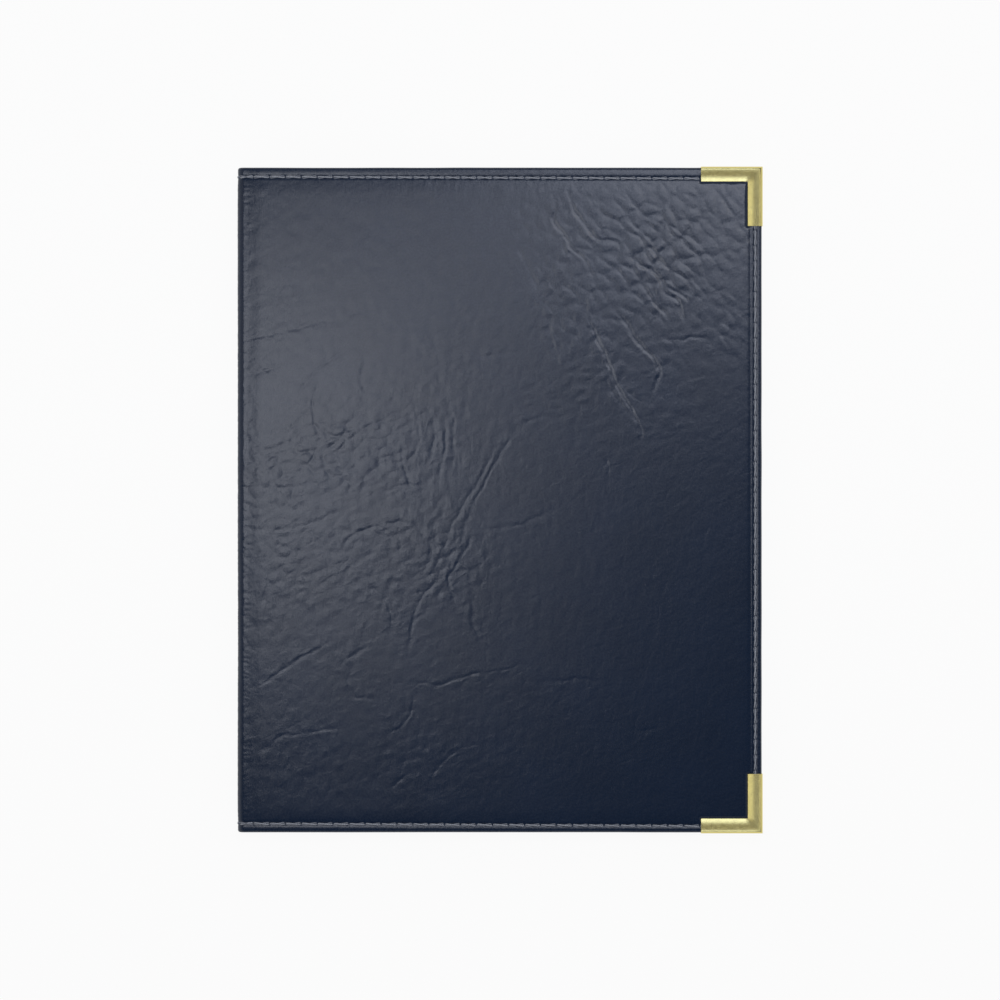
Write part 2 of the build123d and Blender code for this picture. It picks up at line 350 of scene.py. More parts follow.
FILM = 0.2
FILM_WAVE = 0.06
TAPE_CHAMFER = 0.1
TAPE_ROUNDING = 0.35
TAPE_FOLD_START = 0.27
TAPE_FOLD_END = 0.45
HEM_WIDTH = 9.5
HEM_MARGIN = 0.7
film_low, film_high = box_mm("back_pocket_film")
tape_low, tape_high = box_mm("back_pocket_binding")
FILM_TOP = film_high.z - OUTER_Z

# The window inside the hem, where the film stands off the lining
WINDOW_X = FORE_X - HEM_WIDTH - HEM_MARGIN
WINDOW_Y = HALF_HEIGHT - HEM_WIDTH - HEM_MARGIN


@functools.lru_cache(maxsize=None)
def random_table(seed):
    """A square of random values from -1 to 1, the same for a seed each time."""
    return np.random.default_rng(seed).uniform(-1, 1, (256, 256))


def ripple(x, y, cell, seed):
    """Smooth random values from -1 to 1 that change over about one cell, in millimetres."""
    table = random_table(seed)
    u, v = np.asarray(x, float) / cell + 100, np.asarray(y, float) / cell + 100
    i, j = np.floor(u).astype(int), np.floor(v).astype(int)
    p, q = u - i, v - j
    p, q = p * p * (3 - 2 * p), q * q * (3 - 2 * q)
    near = table[i % 256, j % 256] * (1 - p) + table[(i + 1) % 256, j % 256] * p
    far = table[i % 256, (j + 1) % 256] * (1 - p) + table[(i + 1) % 256, (j + 1) % 256] * p
    return near * (1 - q) + far * q


def clear_vinyl(tree):
    """Calendered clear vinyl: glossy, a little wavy, with the faint haze of handling."""
    place = add_node(tree, "ShaderNodeTexCoord").outputs["Object"]
    waves = add_node(tree, "ShaderNodeTexNoise", {"Vector": place, "Scale": 0.025 / MM, "Detail": 2.0})
    haze = add_node(tree, "ShaderNodeTexNoise", {"Vector": place, "Scale": 0.2 / MM, "Detail": 5.0})
    rough = add_node(tree, "ShaderNodeMapRange", {"Value": haze, "To Min": 0.03, "To Max": 0.12})
    relief = add_node(tree, "ShaderNodeBump", {"Height": waves, "Strength": 0.35, "Distance": 1.0 * MM})
    return {
        "Base Color": linear("#F4F8FA"), "Roughness": rough, "IOR": 1.53,
        "Transmission Weight": 1.0, "Normal": relief,
    }


def binding_tape(tree):
    """Black ribbed ribbon: ribs a millimetre apart across its width, and a slight sheen."""
    place = add_node(tree, "ShaderNodeTexCoord").outputs["Object"]
    ribs = add_node(
        tree, "ShaderNodeTexWave", {"Vector": place, "Scale": 0.3 / MM, "Distortion": 0.2},
        bands_direction="Y",
    )
    relief = add_node(tree, "ShaderNodeBump", {"Height": ribs, "Strength": 0.6, "Distance": 0.15 * MM})
    return {
        "Base Color": linear("#121215"), "Roughness": 0.6, "Normal": relief,
        "Sheen Weight": 0.2, "Sheen Roughness": 0.4,
    }


vinyl_film = new_material("clear_vinyl_film", clear_vinyl)
black_tape = new_material("black_ribbed_tape", binding_tape)
for side, seed in (("back", 3), ("front", 4)):
    film_x = np.concatenate([
        np.linspace(film_low.x, WINDOW_X - 2, 50),
        np.linspace(WINDOW_X - 1.4, WINDOW_X + 1, 6),
        np.linspace(WINDOW_X + 3, film_high.x, 4),
    ])
    caught = np.linspace(film_low.y, -WINDOW_Y - 1, 4)
    stepped = np.linspace(-WINDOW_Y - 0.4, -WINDOW_Y + 1.6, 5)
    free = np.linspace(-WINDOW_Y + 5, WINDOW_Y - 5, 60)
    film_y = np.concatenate([caught, stepped, free, -stepped[::-1], -caught[::-1]])
    grid_x, grid_y = np.meshgrid(film_x, film_y, indexing="ij")
    from_hem = np.minimum(WINDOW_X - grid_x, WINDOW_Y - np.abs(grid_y))
    raised = smooth_step(from_hem, -0.4, 1.6)
    held = BOARD_TOP + LINING
    wave = FILM_WAVE * ripple(grid_x, grid_y, 45, seed) * smooth_step(from_hem, 4, 30)
    wave *= smooth_step(grid_x, film_low.x, film_low.x + 30)
    lower = held + (FILM_TOP - FILM - held) * raised + wave
    film = make_piece(f"{side}_pocket_sheet", *slab(film_x, film_y, lower, lower + FILM), side, vinyl_film)

    low, high = tape_low.z - OUTER_Z, tape_high.z - OUTER_Z
    middle = (low + high) / 2
    left, right = tape_low.x, tape_high.x
    outline = [
        (right, low), (left + TAPE_ROUNDING, low), (left + TAPE_CHAMFER, low + TAPE_CHAMFER),
        (left, middle),
        (left + TAPE_CHAMFER, high - TAPE_CHAMFER), (left + TAPE_ROUNDING, high), (right, high),
        (right, middle + FILM / 2), (left + TAPE_FOLD_END, middle + FILM / 2),
        (left + TAPE_FOLD_START, middle),
        (left + TAPE_FOLD_END, middle - FILM / 2), (right, middle - FILM / 2),
    ]
    rings = [[(x, y, depth) for x, depth in outline] for y in np.linspace(tape_low.y, tape_high.y, 30)]
    tape = make_piece(f"{side}_pocket_tape", *closed_sweep(rings), side, black_tape)
    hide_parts(f"{side}_pocket_film")
    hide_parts(f"{side}_pocket_binding")
    for piece in (film, tape):
        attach(piece, f"{side}_panel")


# Leatherette covers
# One sheet of navy leatherette, a vinyl skin embossed like drawn leather on a cotton backing,
# wraps both boards and the spine. Its edges are turned over the boards and sewn down.

EDGE_RADIUS = 1.2
HEM_EDGE_RADIUS = 0.6
FACE_INSET = EDGE_RADIUS
EDGE_WAVE = 0.07

# Over this length before a corner, the rows of points lean towards it, so that the hems meet in
# a mitre
MITRE_ZONE = 25.0

# The outer face is a lattice of this pitch, joined into squares of up to COARSE steps where it
# is flat. Next to the fold, a few rows of squares stay fine.
LATTICE = 0.5
COARSE = 4
LEAST_BEND = 0.012
MOST_CELLS = 74000
FINE_NEAR_FOLD = 3

# Insets of the rows of points across the hem's inner face. In the whole section of an edge, the
# rows that the seam can dent start at FIRST_HEM_ROW, and the last few lie inside the hem.
HEM_INSETS = (1.4, 2.0, 2.4, 2.8, 3.2, 3.6, 4.0, 4.4, 4.8, 5.3, 6.0, 7.0, 8.2, 9.2)
FIRST_HEM_ROW = 8
ROWS_INSIDE = 5

# Distance of each seam from the leather's edge: at the spine and at the fore-edge
HEAD_SEAM = (4.2, 5.1)
FOOT_SEAM = (4.1, 2.8)
FORE_SEAM = 3.0
STITCH_PITCH = 7.0
STITCH_LENGTH = 6.4
SEAM_DEPTH = 0.30
SEAM_WIDTH = 0.75
HOLE_DEPTH = 0.22
HOLE_RADIUS = 0.55
HEM_DENT = 0.22
HEM_DENT_WIDTH = 0.7

# A line is pressed along the fore-edge, inside the seam
FORE_LINE = 5.2
FORE_LINE_DEPTH = 0.18
FORE_LINE_WIDTH = 0.5

# Heights of the embossing and of the padding, and the limit that all of them are held under
LUMP_HEIGHT = 0.26
SLANTED_HEIGHT = 0.12
UPRIGHT_HEIGHT = 0.09
FINE_HEIGHT = 0.05
PADDING_WAVE = 0.10
PADDING_HEIGHT = 0.14
SPINE_CREASE_HEIGHT = 0.08
HIGHEST = 0.38

# How strongly the finest wrinkles of the skin show, at least and where a patch adds to them
LEAST_WRINKLING = 0.26
ADDED_WRINKLING = 0.32

# These wrinkles are drawn out three ways: the part of the stored strength that each one takes,
# its direction in degrees, and its length and width in millimetres
WRINKLES = (("X", 28, 8.0, 3.4), ("Y", 84, 9.0, 3.2), ("Z", -48, 6.0, 4.0))

# The brass guards press on the leatherette, so their sizes come here
BRASS = 0.45
HEAD_LEG = 28.0
FORE_LEG = 27.0
FLANGE_REACH = 6.35
CROWN = OUTER_Z
CROWN_FLAT = (0.85, 1.6)
OUTER_ROLL = 1.3
INNER_ROLL = 0.6
FLANGE_DIG = 0.05
guard_high = box_mm("back_head_corner")[1]
GUARD_INNER = guard_high.z - OUTER_Z

# Places on the photographed front cover are pixels of a square picture
PICTURE_PIXELS = 1000
PIXEL = 0.453
PICTURE_MIDDLE = (500.3, 499.8)

# The long creases, each as the few places that it passes
DEEP_CREASES = [
    [(628, 255), (640, 264), (655, 274), (670, 291), (686, 303)],
    [(646, 243), (655, 254), (667, 268)],
    [(658, 279), (669, 296), (683, 318)],
    [(648, 292), (660, 305), (668, 322)],
    [(551, 196), (558, 219), (568, 243), (582, 261), (598, 276)],
    [(566, 193), (577, 213), (591, 229), (606, 241), (621, 249)],
    [(585, 304), (590, 318), (598, 333), (604, 356), (615, 379), (624, 398), (635, 413), (648, 443)],
    [(618, 313), (630, 332), (645, 348), (661, 366), (660, 384), (651, 399)],
]
MIDDLE_CREASES = [
    [(561, 413), (538, 419), (515, 433), (491, 466), (478, 496), (468, 516), (458, 542), (438, 577)],
    [(438, 577), (420, 602), (411, 622), (410, 659)],
    [(500, 440), (482, 470), (462, 512), (451, 526), (446, 541), (441, 556), (428, 580)],
    [(470, 530), (462, 556), (450, 578), (436, 600)],
    [(513, 244), (528, 263), (536, 293), (551, 303)],
    [(548, 326), (553, 347), (556, 369)],
    [(655, 338), (684, 336), (715, 341)],
    [(718, 326), (726, 347), (738, 366)],
    [(238, 343), (278, 336), (308, 321), (338, 319), (365, 313)],
    [(241, 379), (268, 369), (288, 359)],
    [(281, 398), (305, 384), (321, 364), (345, 351), (368, 339)],
    [(320, 373), (314, 393), (315, 413), (318, 443), (313, 463)],
    [(361, 353), (364, 377), (371, 399)],
    [(411, 403), (385, 416), (358, 429)],
    [(415, 399), (420, 417), (418, 433), (411, 466)],
    [(428, 402), (433, 431), (427, 462)],
    [(441, 411), (444, 440), (438, 481)],
    [(405, 440), (402, 462), (408, 489)],
    [(451, 404), (456, 428), (452, 455)],
    [(338, 498), (365, 473), (395, 459), (425, 453)],
    [(375, 496), (398, 483), (428, 484)],
    [(468, 529), (505, 529), (535, 516), (558, 509)],
    [(448, 572), (450, 590), (453, 609)],
    [(471, 599), (472, 616), (475, 632), (485, 646)],
    [(238, 532), (281, 529), (328, 516), (361, 504)],
    [(335, 556), (355, 536), (381, 521), (415, 522)],
]
LIGHT_CREASES = [
    [(602, 374), (610, 391), (622, 406), (632, 416)],
    [(612, 371), (625, 388), (640, 399), (653, 404)],
    [(652, 215), (664, 229), (679, 236), (694, 246), (699, 260), (702, 277)],
    [(610, 184), (622, 196), (640, 209), (652, 220), (665, 226)],
    [(712, 186), (728, 202), (739, 216)],
    [(582, 182), (594, 201), (612, 217), (628, 232)],
    [(556, 214), (563, 243), (571, 272), (578, 296)],
    [(676, 250), (684, 268), (700, 284), (712, 302)],
    [(248, 691), (281, 669), (305, 656), (331, 641)],
    [(341, 661), (356, 652), (371, 646)],
    [(345, 662), (347, 682), (353, 699), (371, 696)],
    [(238, 484), (275, 488), (305, 486)],
    [(261, 751), (285, 739), (311, 729), (351, 724)],
    [(283, 746), (286, 759), (285, 772)],
    [(313, 742), (315, 759), (313, 776)],
    [(395, 684), (425, 686), (451, 677), (498, 672), (538, 664)],
    [(531, 682), (571, 677), (605, 682)],
    [(411, 689), (415, 703), (410, 716), (385, 739)],
    [(391, 789), (400, 779), (408, 772)],
    [(428, 786), (445, 759), (481, 742)],
    [(628, 732), (643, 733), (658, 729)],
    [(455, 340), (470, 352), (492, 356), (514, 350)],
    [(300, 560), (312, 590), (308, 618)],
    [(262, 585), (270, 612), (266, 640)],
    [(370, 585), (388, 600), (392, 628)],
    [(690, 372), (700, 392), (698, 415)],
    [(604, 452), (612, 470), (608, 488)],
]

# Each group of creases with its depth and its width
CREASES = ((DEEP_CREASES, 0.145, 0.80), (MIDDLE_CREASES, 0.063, 0.74), (LIGHT_CREASES, 0.05, 0.65))

# Where the sheet is wrinkled, in soft oval patches. Each row gives a patch's middle and its two
# half-widths in pixels, its turn in degrees, and how strong it is.
PEBBLED = [
    (658, 252, 76, 66, 20, 0.76),
    (625, 232, 84, 52, 30, 0.57),
    (585, 300, 60, 85, 35, 0.35),
    (650, 350, 60, 55, 0, 0.20),
    (722, 320, 40, 60, 0, 0.34),
    (715, 215, 60, 55, 0, 0.47),
    (555, 212, 70, 40, 30, 0.30),
    (672, 420, 50, 40, 0, 0.18),
    (310, 470, 95, 75, 15, 0.30),
    (380, 530, 80, 60, 15, 0.30),
    (270, 560, 60, 70, 0, 0.14),
]
SLANTED = [
    (330, 455, 125, 65, 15, 1.0),
    (300, 545, 100, 70, 0, 0.62),
    (420, 560, 80, 80, 0, 0.60),
    (280, 350, 90, 60, 15, 0.42),
    (440, 330, 95, 60, 20, 0.50),
    (560, 400, 95, 45, 25, 0.45),
    (300, 690, 110, 50, 0, 0.22),
    (500, 690, 130, 30, 0, 0.28),
    (650, 440, 100, 40, 20, 0.32),
    (440, 770, 120, 40, 0, 0.36),
]
UPRIGHT = [
    (440, 440, 45, 85, 0, 0.72),
    (460, 560, 40, 80, 10, 0.42),
    (300, 625, 85, 90, 0, 0.50),
    (300, 765, 95, 60, 0, 0.70),
    (400, 735, 80, 70, 0, 0.45),
    (565, 300, 50, 100, 25, 0.72),
    (310, 265, 95, 90, 0, 0.45),
    (440, 235, 95, 70, 0, 0.45),
]


def to_cover(pixels):
    """A place in the picture as x and y on the cover, in millimetres."""
    across, down = np.asarray(pixels, float).T
    return np.stack([(across - PICTURE_MIDDLE[0]) * PIXEL, (PICTURE_MIDDLE[1] - down) * PIXEL], -1)


def patches(x, y, rows):
    """How strongly a set of soft oval patches covers each place."""
    total = np.zeros(np.shape(x))
    for across, down, half_x, half_y, turn, strength in rows:
        (middle_x, middle_y), = to_cover([(across, down)])
        c, s = math.cos(math.radians(turn)), math.sin(math.radians(turn))
        u = ((x - middle_x) * c + (y - middle_y) * s) / (half_x * PIXEL)
        v = ((y - middle_y) * c - (x - middle_x) * s) / (half_y * PIXEL)
        total = np.maximum(total, strength * np.exp(-(u * u + v * v)))
    return total


def inside_cell(x, y, cell, seed):
    """0 on the creases between irregular cells of about that size, rising to about 1 inside them."""
    jitter = np.random.default_rng(seed).uniform(0.08, 0.92, (2, 256, 256))
    u, v = x / cell + 100, y / cell + 100
    i, j = np.floor(u).astype(int), np.floor(v).astype(int)
    nearest, second = np.full(u.shape, 9.0), np.full(u.shape, 9.0)
    for step_i in (-1, 0, 1):
        for step_j in (-1, 0, 1):
            a, b = (i + step_i) % 256, (j + step_j) % 256
            far = np.hypot(i + step_i + jitter[0, a, b] - u, j + step_j + jitter[1, a, b] - v)
            second = np.minimum(second, np.maximum(nearest, far))
            nearest = np.minimum(nearest, far)
    return second - nearest


def turned_cells(x, y, cell, stretch, turn, seed):
    """Cells that are drawn out along a direction in degrees, so that their creases run that way."""
    c, s = math.cos(math.radians(turn)), math.sin(math.radians(turn))
    return inside_cell((x * c + y * s) / stretch, y * c - x * s, cell, seed)


def rounded_line(points, rounds=3):
    """Corners cut off again and again, which leaves a smooth line with the same ends."""
    line = np.asarray(points, float)
    for _ in range(rounds):
        cut = np.stack([0.75 * line[:-1] + 0.25 * line[1:], 0.25 * line[:-1] + 0.75 * line[1:]], 1)
        line = np.concatenate([line[:1], cut.reshape(-1, 2), line[-1:]])
    return line


def crease_depth(x, y, lines, depth, width):
    """A pressed line with soft lips along each crease, fading towards its ends."""
    total = np.zeros(x.shape)
    reach = 4 * width
    for pixels in lines:
        line = rounded_line(to_cover(pixels))
        lengths = np.linalg.norm(np.diff(line, axis=0), axis=1)
        done = np.concatenate([[0], np.cumsum(lengths)]) / lengths.sum()
        low, high = line.min(0) - reach, line.max(0) + reach
        near = (x > low[0]) & (x < high[0]) & (y > low[1]) & (y < high[1])
        if not near.any():
            continue
        px, py = x[near], y[near]
        best, share = np.full(px.shape, 1e9), np.zeros(px.shape)
        for k, length in enumerate(lengths):
            start, along = line[k], (line[k + 1] - line[k]) / length
            t = np.clip((px - start[0]) * along[0] + (py - start[1]) * along[1], 0, length)
            gap = np.hypot(px - start[0] - t * along[0], py - start[1] - t * along[1])
            closer = gap < best
            best = np.where(closer, gap, best)
            share = np.where(closer, done[k] + (done[k + 1] - done[k]) * t / length, share)
        taper = np.sqrt(np.clip(np.sin(math.pi * np.clip(share, 0.02, 0.98)), 0, 1))
        groove = np.exp(-(best / width) ** 2) - 0.3 * np.exp(-((best - 1.9 * width) / width) ** 2)
        total[near] += depth * taper * groove
    return total


SPINE_MIDDLE = FOLD_X - ARC - FLAT_SPINE
FIRST_HOLE = SPINE_MIDDLE + STITCH_PITCH / 2
FORE_HOLE = STITCH_PITCH / 2


def seam_line(edge, x):
    """Where the head or foot seam lies, as y, for places along the unrolled sheet."""
    share = (np.asarray(x, float) - SPINE_X) / (FORE_X - SPINE_X)
    start, end = HEAD_SEAM if edge == "head" else FOOT_SEAM
    inset = HALF_HEIGHT - start - (end - start) * share
    return inset if edge == "head" else -inset


def to_nearest(along, first):
    """Distance to the nearest of the stitch holes of a row, the first hole being at a known place."""
    steps = (along - first) / STITCH_PITCH
    return np.abs(steps - np.round(steps)) * STITCH_PITCH


def guard_under(inset):
    """Depth of the inner side of the guard's outer flange, for an inset from the leather's edge."""
    reach, fall = FLANGE_REACH - CROWN_FLAT[1], CROWN + FLANGE_DIG
    bow = (reach ** 2 + fall ** 2) / (2 * fall)
    run = np.clip(inset - CROWN_FLAT[1], 0, reach)
    return bow - np.sqrt(bow ** 2 - run ** 2) - CROWN + BRASS


def pressed_by_guard(x, y):
    """How deep the leatherette is pressed under the guards and just beside them."""
    from_fore, from_end = FORE_X - x, HALF_HEIGHT - np.abs(y)
    past_head_leg = np.maximum(from_fore - HEAD_LEG + BRASS, 0)
    past_fore_leg = np.maximum(from_end - FORE_LEG + BRASS, 0)
    beside_head = np.hypot(past_head_leg, np.maximum(from_end - FLANGE_REACH, 0))
    beside_fore = np.hypot(np.maximum(from_fore - FLANGE_REACH, 0), past_fore_leg)
    beside = np.minimum(beside_head, beside_fore)
    under = guard_under(np.minimum(from_fore, from_end)) + 0.03
    return np.where(beside < 0.9, np.maximum(under, 0) * np.exp(-(beside / 0.45) ** 2), 0)


def domed(inside):
    """Rounded lumps that meet in soft creases, from 0 on a crease to 1 on top."""
    return smooth_step(inside, -0.06, 0.62)


def as_pictured(s, y, side):
    """Where the pattern of a place is taken from; the back cover's is turned half round."""
    return (s, y) if side == "front" else (-0.94 * s, -y)


def wrinkling(s, y, side):
    """How strongly each place is wrinkled: slanting upwards, upright, and pebbled."""
    return [patches(*as_pictured(s, y, side), rows) for rows in (SLANTED, UPRIGHT, PEBBLED)]


def relief(s, y, side):
    """Height of the embossing and of the padding above the flat, on the unrolled outer face."""
    own = 0 if side == "front" else 50
    x, down = as_pictured(s, y, side)
    warped_x = x + 1.8 * ripple(x, down, 9, 11 + own) + 0.3 * ripple(x, down, 3, 12 + own)
    warped_y = down + 1.8 * ripple(x, down, 9, 13 + own) + 0.3 * ripple(x, down, 3, 14 + own)

    slanted, upright, pebbled = wrinkling(s, y, side)
    lumps = turned_cells(warped_x, warped_y, 5.3, 1.7, -50, 21 + own)
    long_cells = turned_cells(warped_x, warped_y, 5.0, 1.6, 28, 23 + own)
    tall_cells = turned_cells(warped_x, warped_y, 4.8, 2.3, 84, 25 + own)

    height = LUMP_HEIGHT * pebbled * (domed(lumps) - 0.5)
    height += SLANTED_HEIGHT * slanted * (domed(long_cells) - 0.5)
    height += UPRIGHT_HEIGHT * upright * (domed(tall_cells) - 0.5)
    busy = np.maximum(np.maximum(pebbled, slanted), upright)
    height += FINE_HEIGHT * busy * ripple(0.93 * x + 0.37 * down, 1.4 * down - 0.5 * x, 4.0, 32 + own)
    crease_x = warped_x + 0.35 * ripple(x, down, 2.6, 35 + own)
    crease_y = warped_y + 0.35 * ripple(x, down, 2.6, 36 + own)
    for lines, deep, wide in CREASES:
        height -= crease_depth(crease_x, crease_y, lines, deep, wide)

    gap, to_hole = seam_gap(s, y)
    height *= smooth_step(gap, 0.8, 3.0) + 0.25 * smooth_step(-gap, 0.4, 1.0) * smooth_step(gap, -3.0, -1.6)
    height += PADDING_WAVE * ripple(x, down, 60, 41 + own) * smooth_step(gap, 4, 25)
    height += PADDING_HEIGHT * smooth_step(gap, 0.6, 7.0)
    short = turned_cells(warped_x, warped_y, 2.4, 2.6, 4, 26 + own)
    creased = (1 - smooth_step(s, SPINE_X - 1.0, SPINE_X + 11)) * smooth_step(gap, 0.8, 3.0)
    height += SPINE_CREASE_HEIGHT * creased * (1 - np.exp(-(short / 0.2) ** 2) - 0.5)
    height = np.where(height > 0, HIGHEST * np.tanh(height / HIGHEST), height)

    height -= SEAM_DEPTH * np.exp(-(gap / SEAM_WIDTH) ** 2)
    height -= HOLE_DEPTH * np.exp(-(gap ** 2 + to_hole ** 2) / HOLE_RADIUS ** 2)
    in_line = smooth_step(HALF_HEIGHT - np.abs(y), 5, 7)
    height -= FORE_LINE_DEPTH * np.exp(-((FORE_X - s - FORE_LINE) / FORE_LINE_WIDTH) ** 2) * in_line
    edge = np.minimum(FORE_X - s, HALF_HEIGHT - np.abs(y))
    off_edge = smooth_step(edge, FACE_INSET, FACE_INSET + 1.2)
    height *= off_edge * smooth_step(s, SPINE_MIDDLE, SPINE_MIDDLE + 2)
    pressed = pressed_by_guard(s, y)
    return np.where(pressed > 0, np.minimum(height, -pressed), height)


def seam_gap(x, y):
    """Distance from a place on the face to the nearest seam, and to the nearest hole along it."""
    head, foot = seam_line("head", x) - y, y - seam_line("foot", x)
    fore = FORE_X - FORE_SEAM - x
    gap = np.minimum(np.minimum(head, foot), fore)
    to_hole = np.where(fore == gap, to_nearest(y, FORE_HOLE), to_nearest(x, FIRST_HOLE))
    return gap, to_hole


def worst_bend(height, size):
    """How far each square block of the lattice bends from the patch between its four corners."""
    n, m = (height.shape[0] - 1) // size, (height.shape[1] - 1) // size
    corner = height[::size, ::size]
    worst = np.zeros((n, m))
    for i in range(size + 1):
        for j in range(size + 1):
            u, v = i / size, j / size
            low = corner[:-1, :-1] * (1 - u) + corner[1:, :-1] * u
            high = corner[:-1, 1:] * (1 - u) + corner[1:, 1:] * u
            real = height[i:i + n * size:size, j:j + m * size:size]
            worst = np.maximum(worst, np.abs(real - low * (1 - v) - high * v))
    return worst


def cells_of_face(height, near_fold):
    """Squares that are small where the face bends and large where it is flat, as corner and size."""
    half = COARSE // 2
    bend, half_bend = worst_bend(height, COARSE), worst_bend(height, half)
    limit, count = LEAST_BEND, MOST_CELLS + 1
    while count > MOST_CELLS:
        limit *= 1.04
        split = bend > limit
        split[:near_fold] = True
        split_half = np.repeat(np.repeat(split, 2, 0), 2, 1)
        fine = (half_bend > limit) & split_half
        count = (~split).sum() + (split_half & ~fine).sum() + half * half * fine.sum()
    cells = [(i * COARSE, j * COARSE, COARSE) for i, j in np.argwhere(~split)]
    cells += [(i * half, j * half, half) for i, j in np.argwhere(split_half & ~fine)]
    for i, j in np.argwhere(fine):
        cells += [(i * half + a, j * half + b, 1) for a in range(half) for b in range(half)]
    return cells


def face_polygons(cells, shape):
    """The used lattice points, and each square as a polygon through every used point on its edges."""
    used = np.zeros(shape, bool)
    for i, j, size in cells:
        used[i, j] = used[i + size, j] = used[i, j + size] = used[i + size, j + size] = True
    polygons = []
    for i, j, size in cells:
        walk = [(i + k, j) for k in range(size)] + [(i + size, j + k) for k in range(size)]
        walk += [(i + size - k, j + size) for k in range(size)] + [(i, j + size - k) for k in range(size)]
        polygons.append([place for place in walk if used[place]])
    return used, polygons


def edge_rows(thickness, drop):
    """Inset and depth of each row round the edge: rounded edge, wall, hem, and back along the inside."""
    outer = min(EDGE_RADIUS, 0.6 * (thickness - drop))
    hem = min(HEM_EDGE_RADIUS, 0.32 * (thickness - drop))
    rows = []
    for angle in (18, 36, 54, 72, 90):
        a = math.radians(angle)
        rows.append((outer * (1 - math.sin(a)), drop + outer * (1 - math.cos(a))))
    rows.append((0.0, (drop + outer + thickness - hem) / 2))
    for angle in (0, 30, 60, 90):
        a = math.radians(angle)
        rows.append((hem * (1 - math.cos(a)), thickness - hem * (1 - math.sin(a))))
    rows += [(inset, thickness) for inset in HEM_INSETS]
    rows += [(HEM_WIDTH - 0.1, thickness - 0.06), (HEM_WIDTH, thickness - 0.22)]
    rows.append((HEM_WIDTH, thickness - LEATHER))
    room = 0.45 * min(1.0, thickness - drop - 2 * LEATHER)
    rows += [(1.2, thickness - LEATHER), (LEATHER, thickness - LEATHER - room)]
    rows += [(LEATHER, drop + LEATHER + room), (1.2, drop + LEATHER)]
    return rows


def hem_dent(inset, seam_inset):
    """How far the inner side of the seam is drawn into the hem."""
    return HEM_DENT * math.exp(-((inset - seam_inset) / HEM_DENT_WIDTH) ** 2)


def edge_wave(x, y, inset):
    """How far the edge strays from its straight line, fading with the inset from it."""
    return EDGE_WAVE * float(ripple(x, y, 17, 61)) * math.exp(-inset)


def hem_seam_inset(x, edge):
    """Inset of the seam from the edge that it follows."""
    share = (x - SPINE_X) / (FORE_X - SPINE_X)
    ends = {"head": HEAD_SEAM, "foot": FOOT_SEAM, "fore": (FORE_SEAM, FORE_SEAM)}[edge]
    return ends[0] + (ends[1] - ends[0]) * share


def hem_height(s):
    """Depth of the hem's inner face: low in the fold, high over the board."""
    in_fold = FOLD_STACK + sink(s)
    over_board = BOARD_TOP + LINING + FILM + LEATHER
    return in_fold + (over_board - in_fold) * board_step(s)


def panel_sheet(side):
    """Points, faces and unrolled places of one cover's leatherette, and the y places of its cut edge."""
    count_x = COARSE * round((FORE_X - FACE_INSET - CUT_X) / LATTICE / COARSE)
    count_y = COARSE * round(2 * (HALF_HEIGHT - FACE_INSET) / LATTICE / COARSE)
    xs = np.linspace(CUT_X, FORE_X - FACE_INSET, count_x + 1)
    ys = np.linspace(-HALF_HEIGHT + FACE_INSET, HALF_HEIGHT - FACE_INSET, count_y + 1)
    grid_x, grid_y = np.meshgrid(xs, ys, indexing="ij")
    depth = sink(grid_x) - relief(grid_x, grid_y, side)
    cells = cells_of_face(depth, FINE_NEAR_FOLD)
    used, polygons = face_polygons(cells, depth.shape)
    number = np.cumsum(used.ravel()).reshape(used.shape) - 1
    points = np.stack([grid_x[used], grid_y[used], depth[used]], -1).tolist()
    places = [(x, y, 0.0) for x, y, _ in points]
    faces = [[number[place] for place in polygon] for polygon in polygons]

    foot = [(i, 0) for i in range(count_x)]
    fore = [(count_x, j) for j in range(count_y)]
    head = [(i, count_y) for i in range(count_x, -1, -1)]
    rim = foot + fore + head
    foot, fore, head = foot[::COARSE], fore[::COARSE], head[::COARSE]
    rows = [[number[place] for place in foot + fore + head]]
    columns = []
    for edge, line in (("foot", foot), ("fore", fore), ("head", head)):
        for place in line:
            columns.append((edge, xs[place[0]], ys[place[1]]))
    end_x, end_y = xs[-1], ys[-1]
    profiles = [edge_rows(float(hem_height(x)), float(sink(x))) for _, x, _ in columns]
    for row in range(len(profiles[0])):
        line = []
        for (edge, x, y), profile in zip(columns, profiles):
            inset, level = profile[row]
            if FIRST_HEM_ROW <= row < len(profile) - ROWS_INSIDE:
                level -= hem_dent(inset, hem_seam_inset(x, edge))
            out = FACE_INSET - inset
            to_corner_x = max(0.0, 1 - (end_x - x) / MITRE_ZONE)
            to_corner_y = max(0.0, 1 - (end_y - abs(y)) / MITRE_ZONE)
            wave = edge_wave(x, y, inset)
            headwards = 1 if y > 0 else -1
            if edge == "fore":
                placed = (x + out + wave, y + headwards * out * to_corner_y, level)
            else:
                placed = (x + out * to_corner_x, y + headwards * (out + wave), level)
            line.append(len(points))
            points.append(placed)
            places.append((placed[0], placed[1], level))
        rows.append(line)
    for k in range(len(rows[0]) - 1):
        passed = [number[place] for place in rim[k * COARSE + 1:(k + 1) * COARSE] if used[place]]
        faces.append([rows[0][k], rows[1][k], rows[1][k + 1], rows[0][k + 1]] + passed[::-1])
    for near, far in zip(rows[1:], rows[2:]):
        for k in range(len(near) - 1):
            faces.append([near[k], far[k], far[k + 1], near[k + 1]])
    faces.append(list(rows[-1][::-1]))
    between = [number[0, j] for j in range(1, count_y) if used[0, j]]
    faces.append([line[0] for line in rows][::-1] + between + [line[-1] for line in rows])
    return points, faces, places, [ys[j] for j in range(count_y + 1) if used[0, j]]


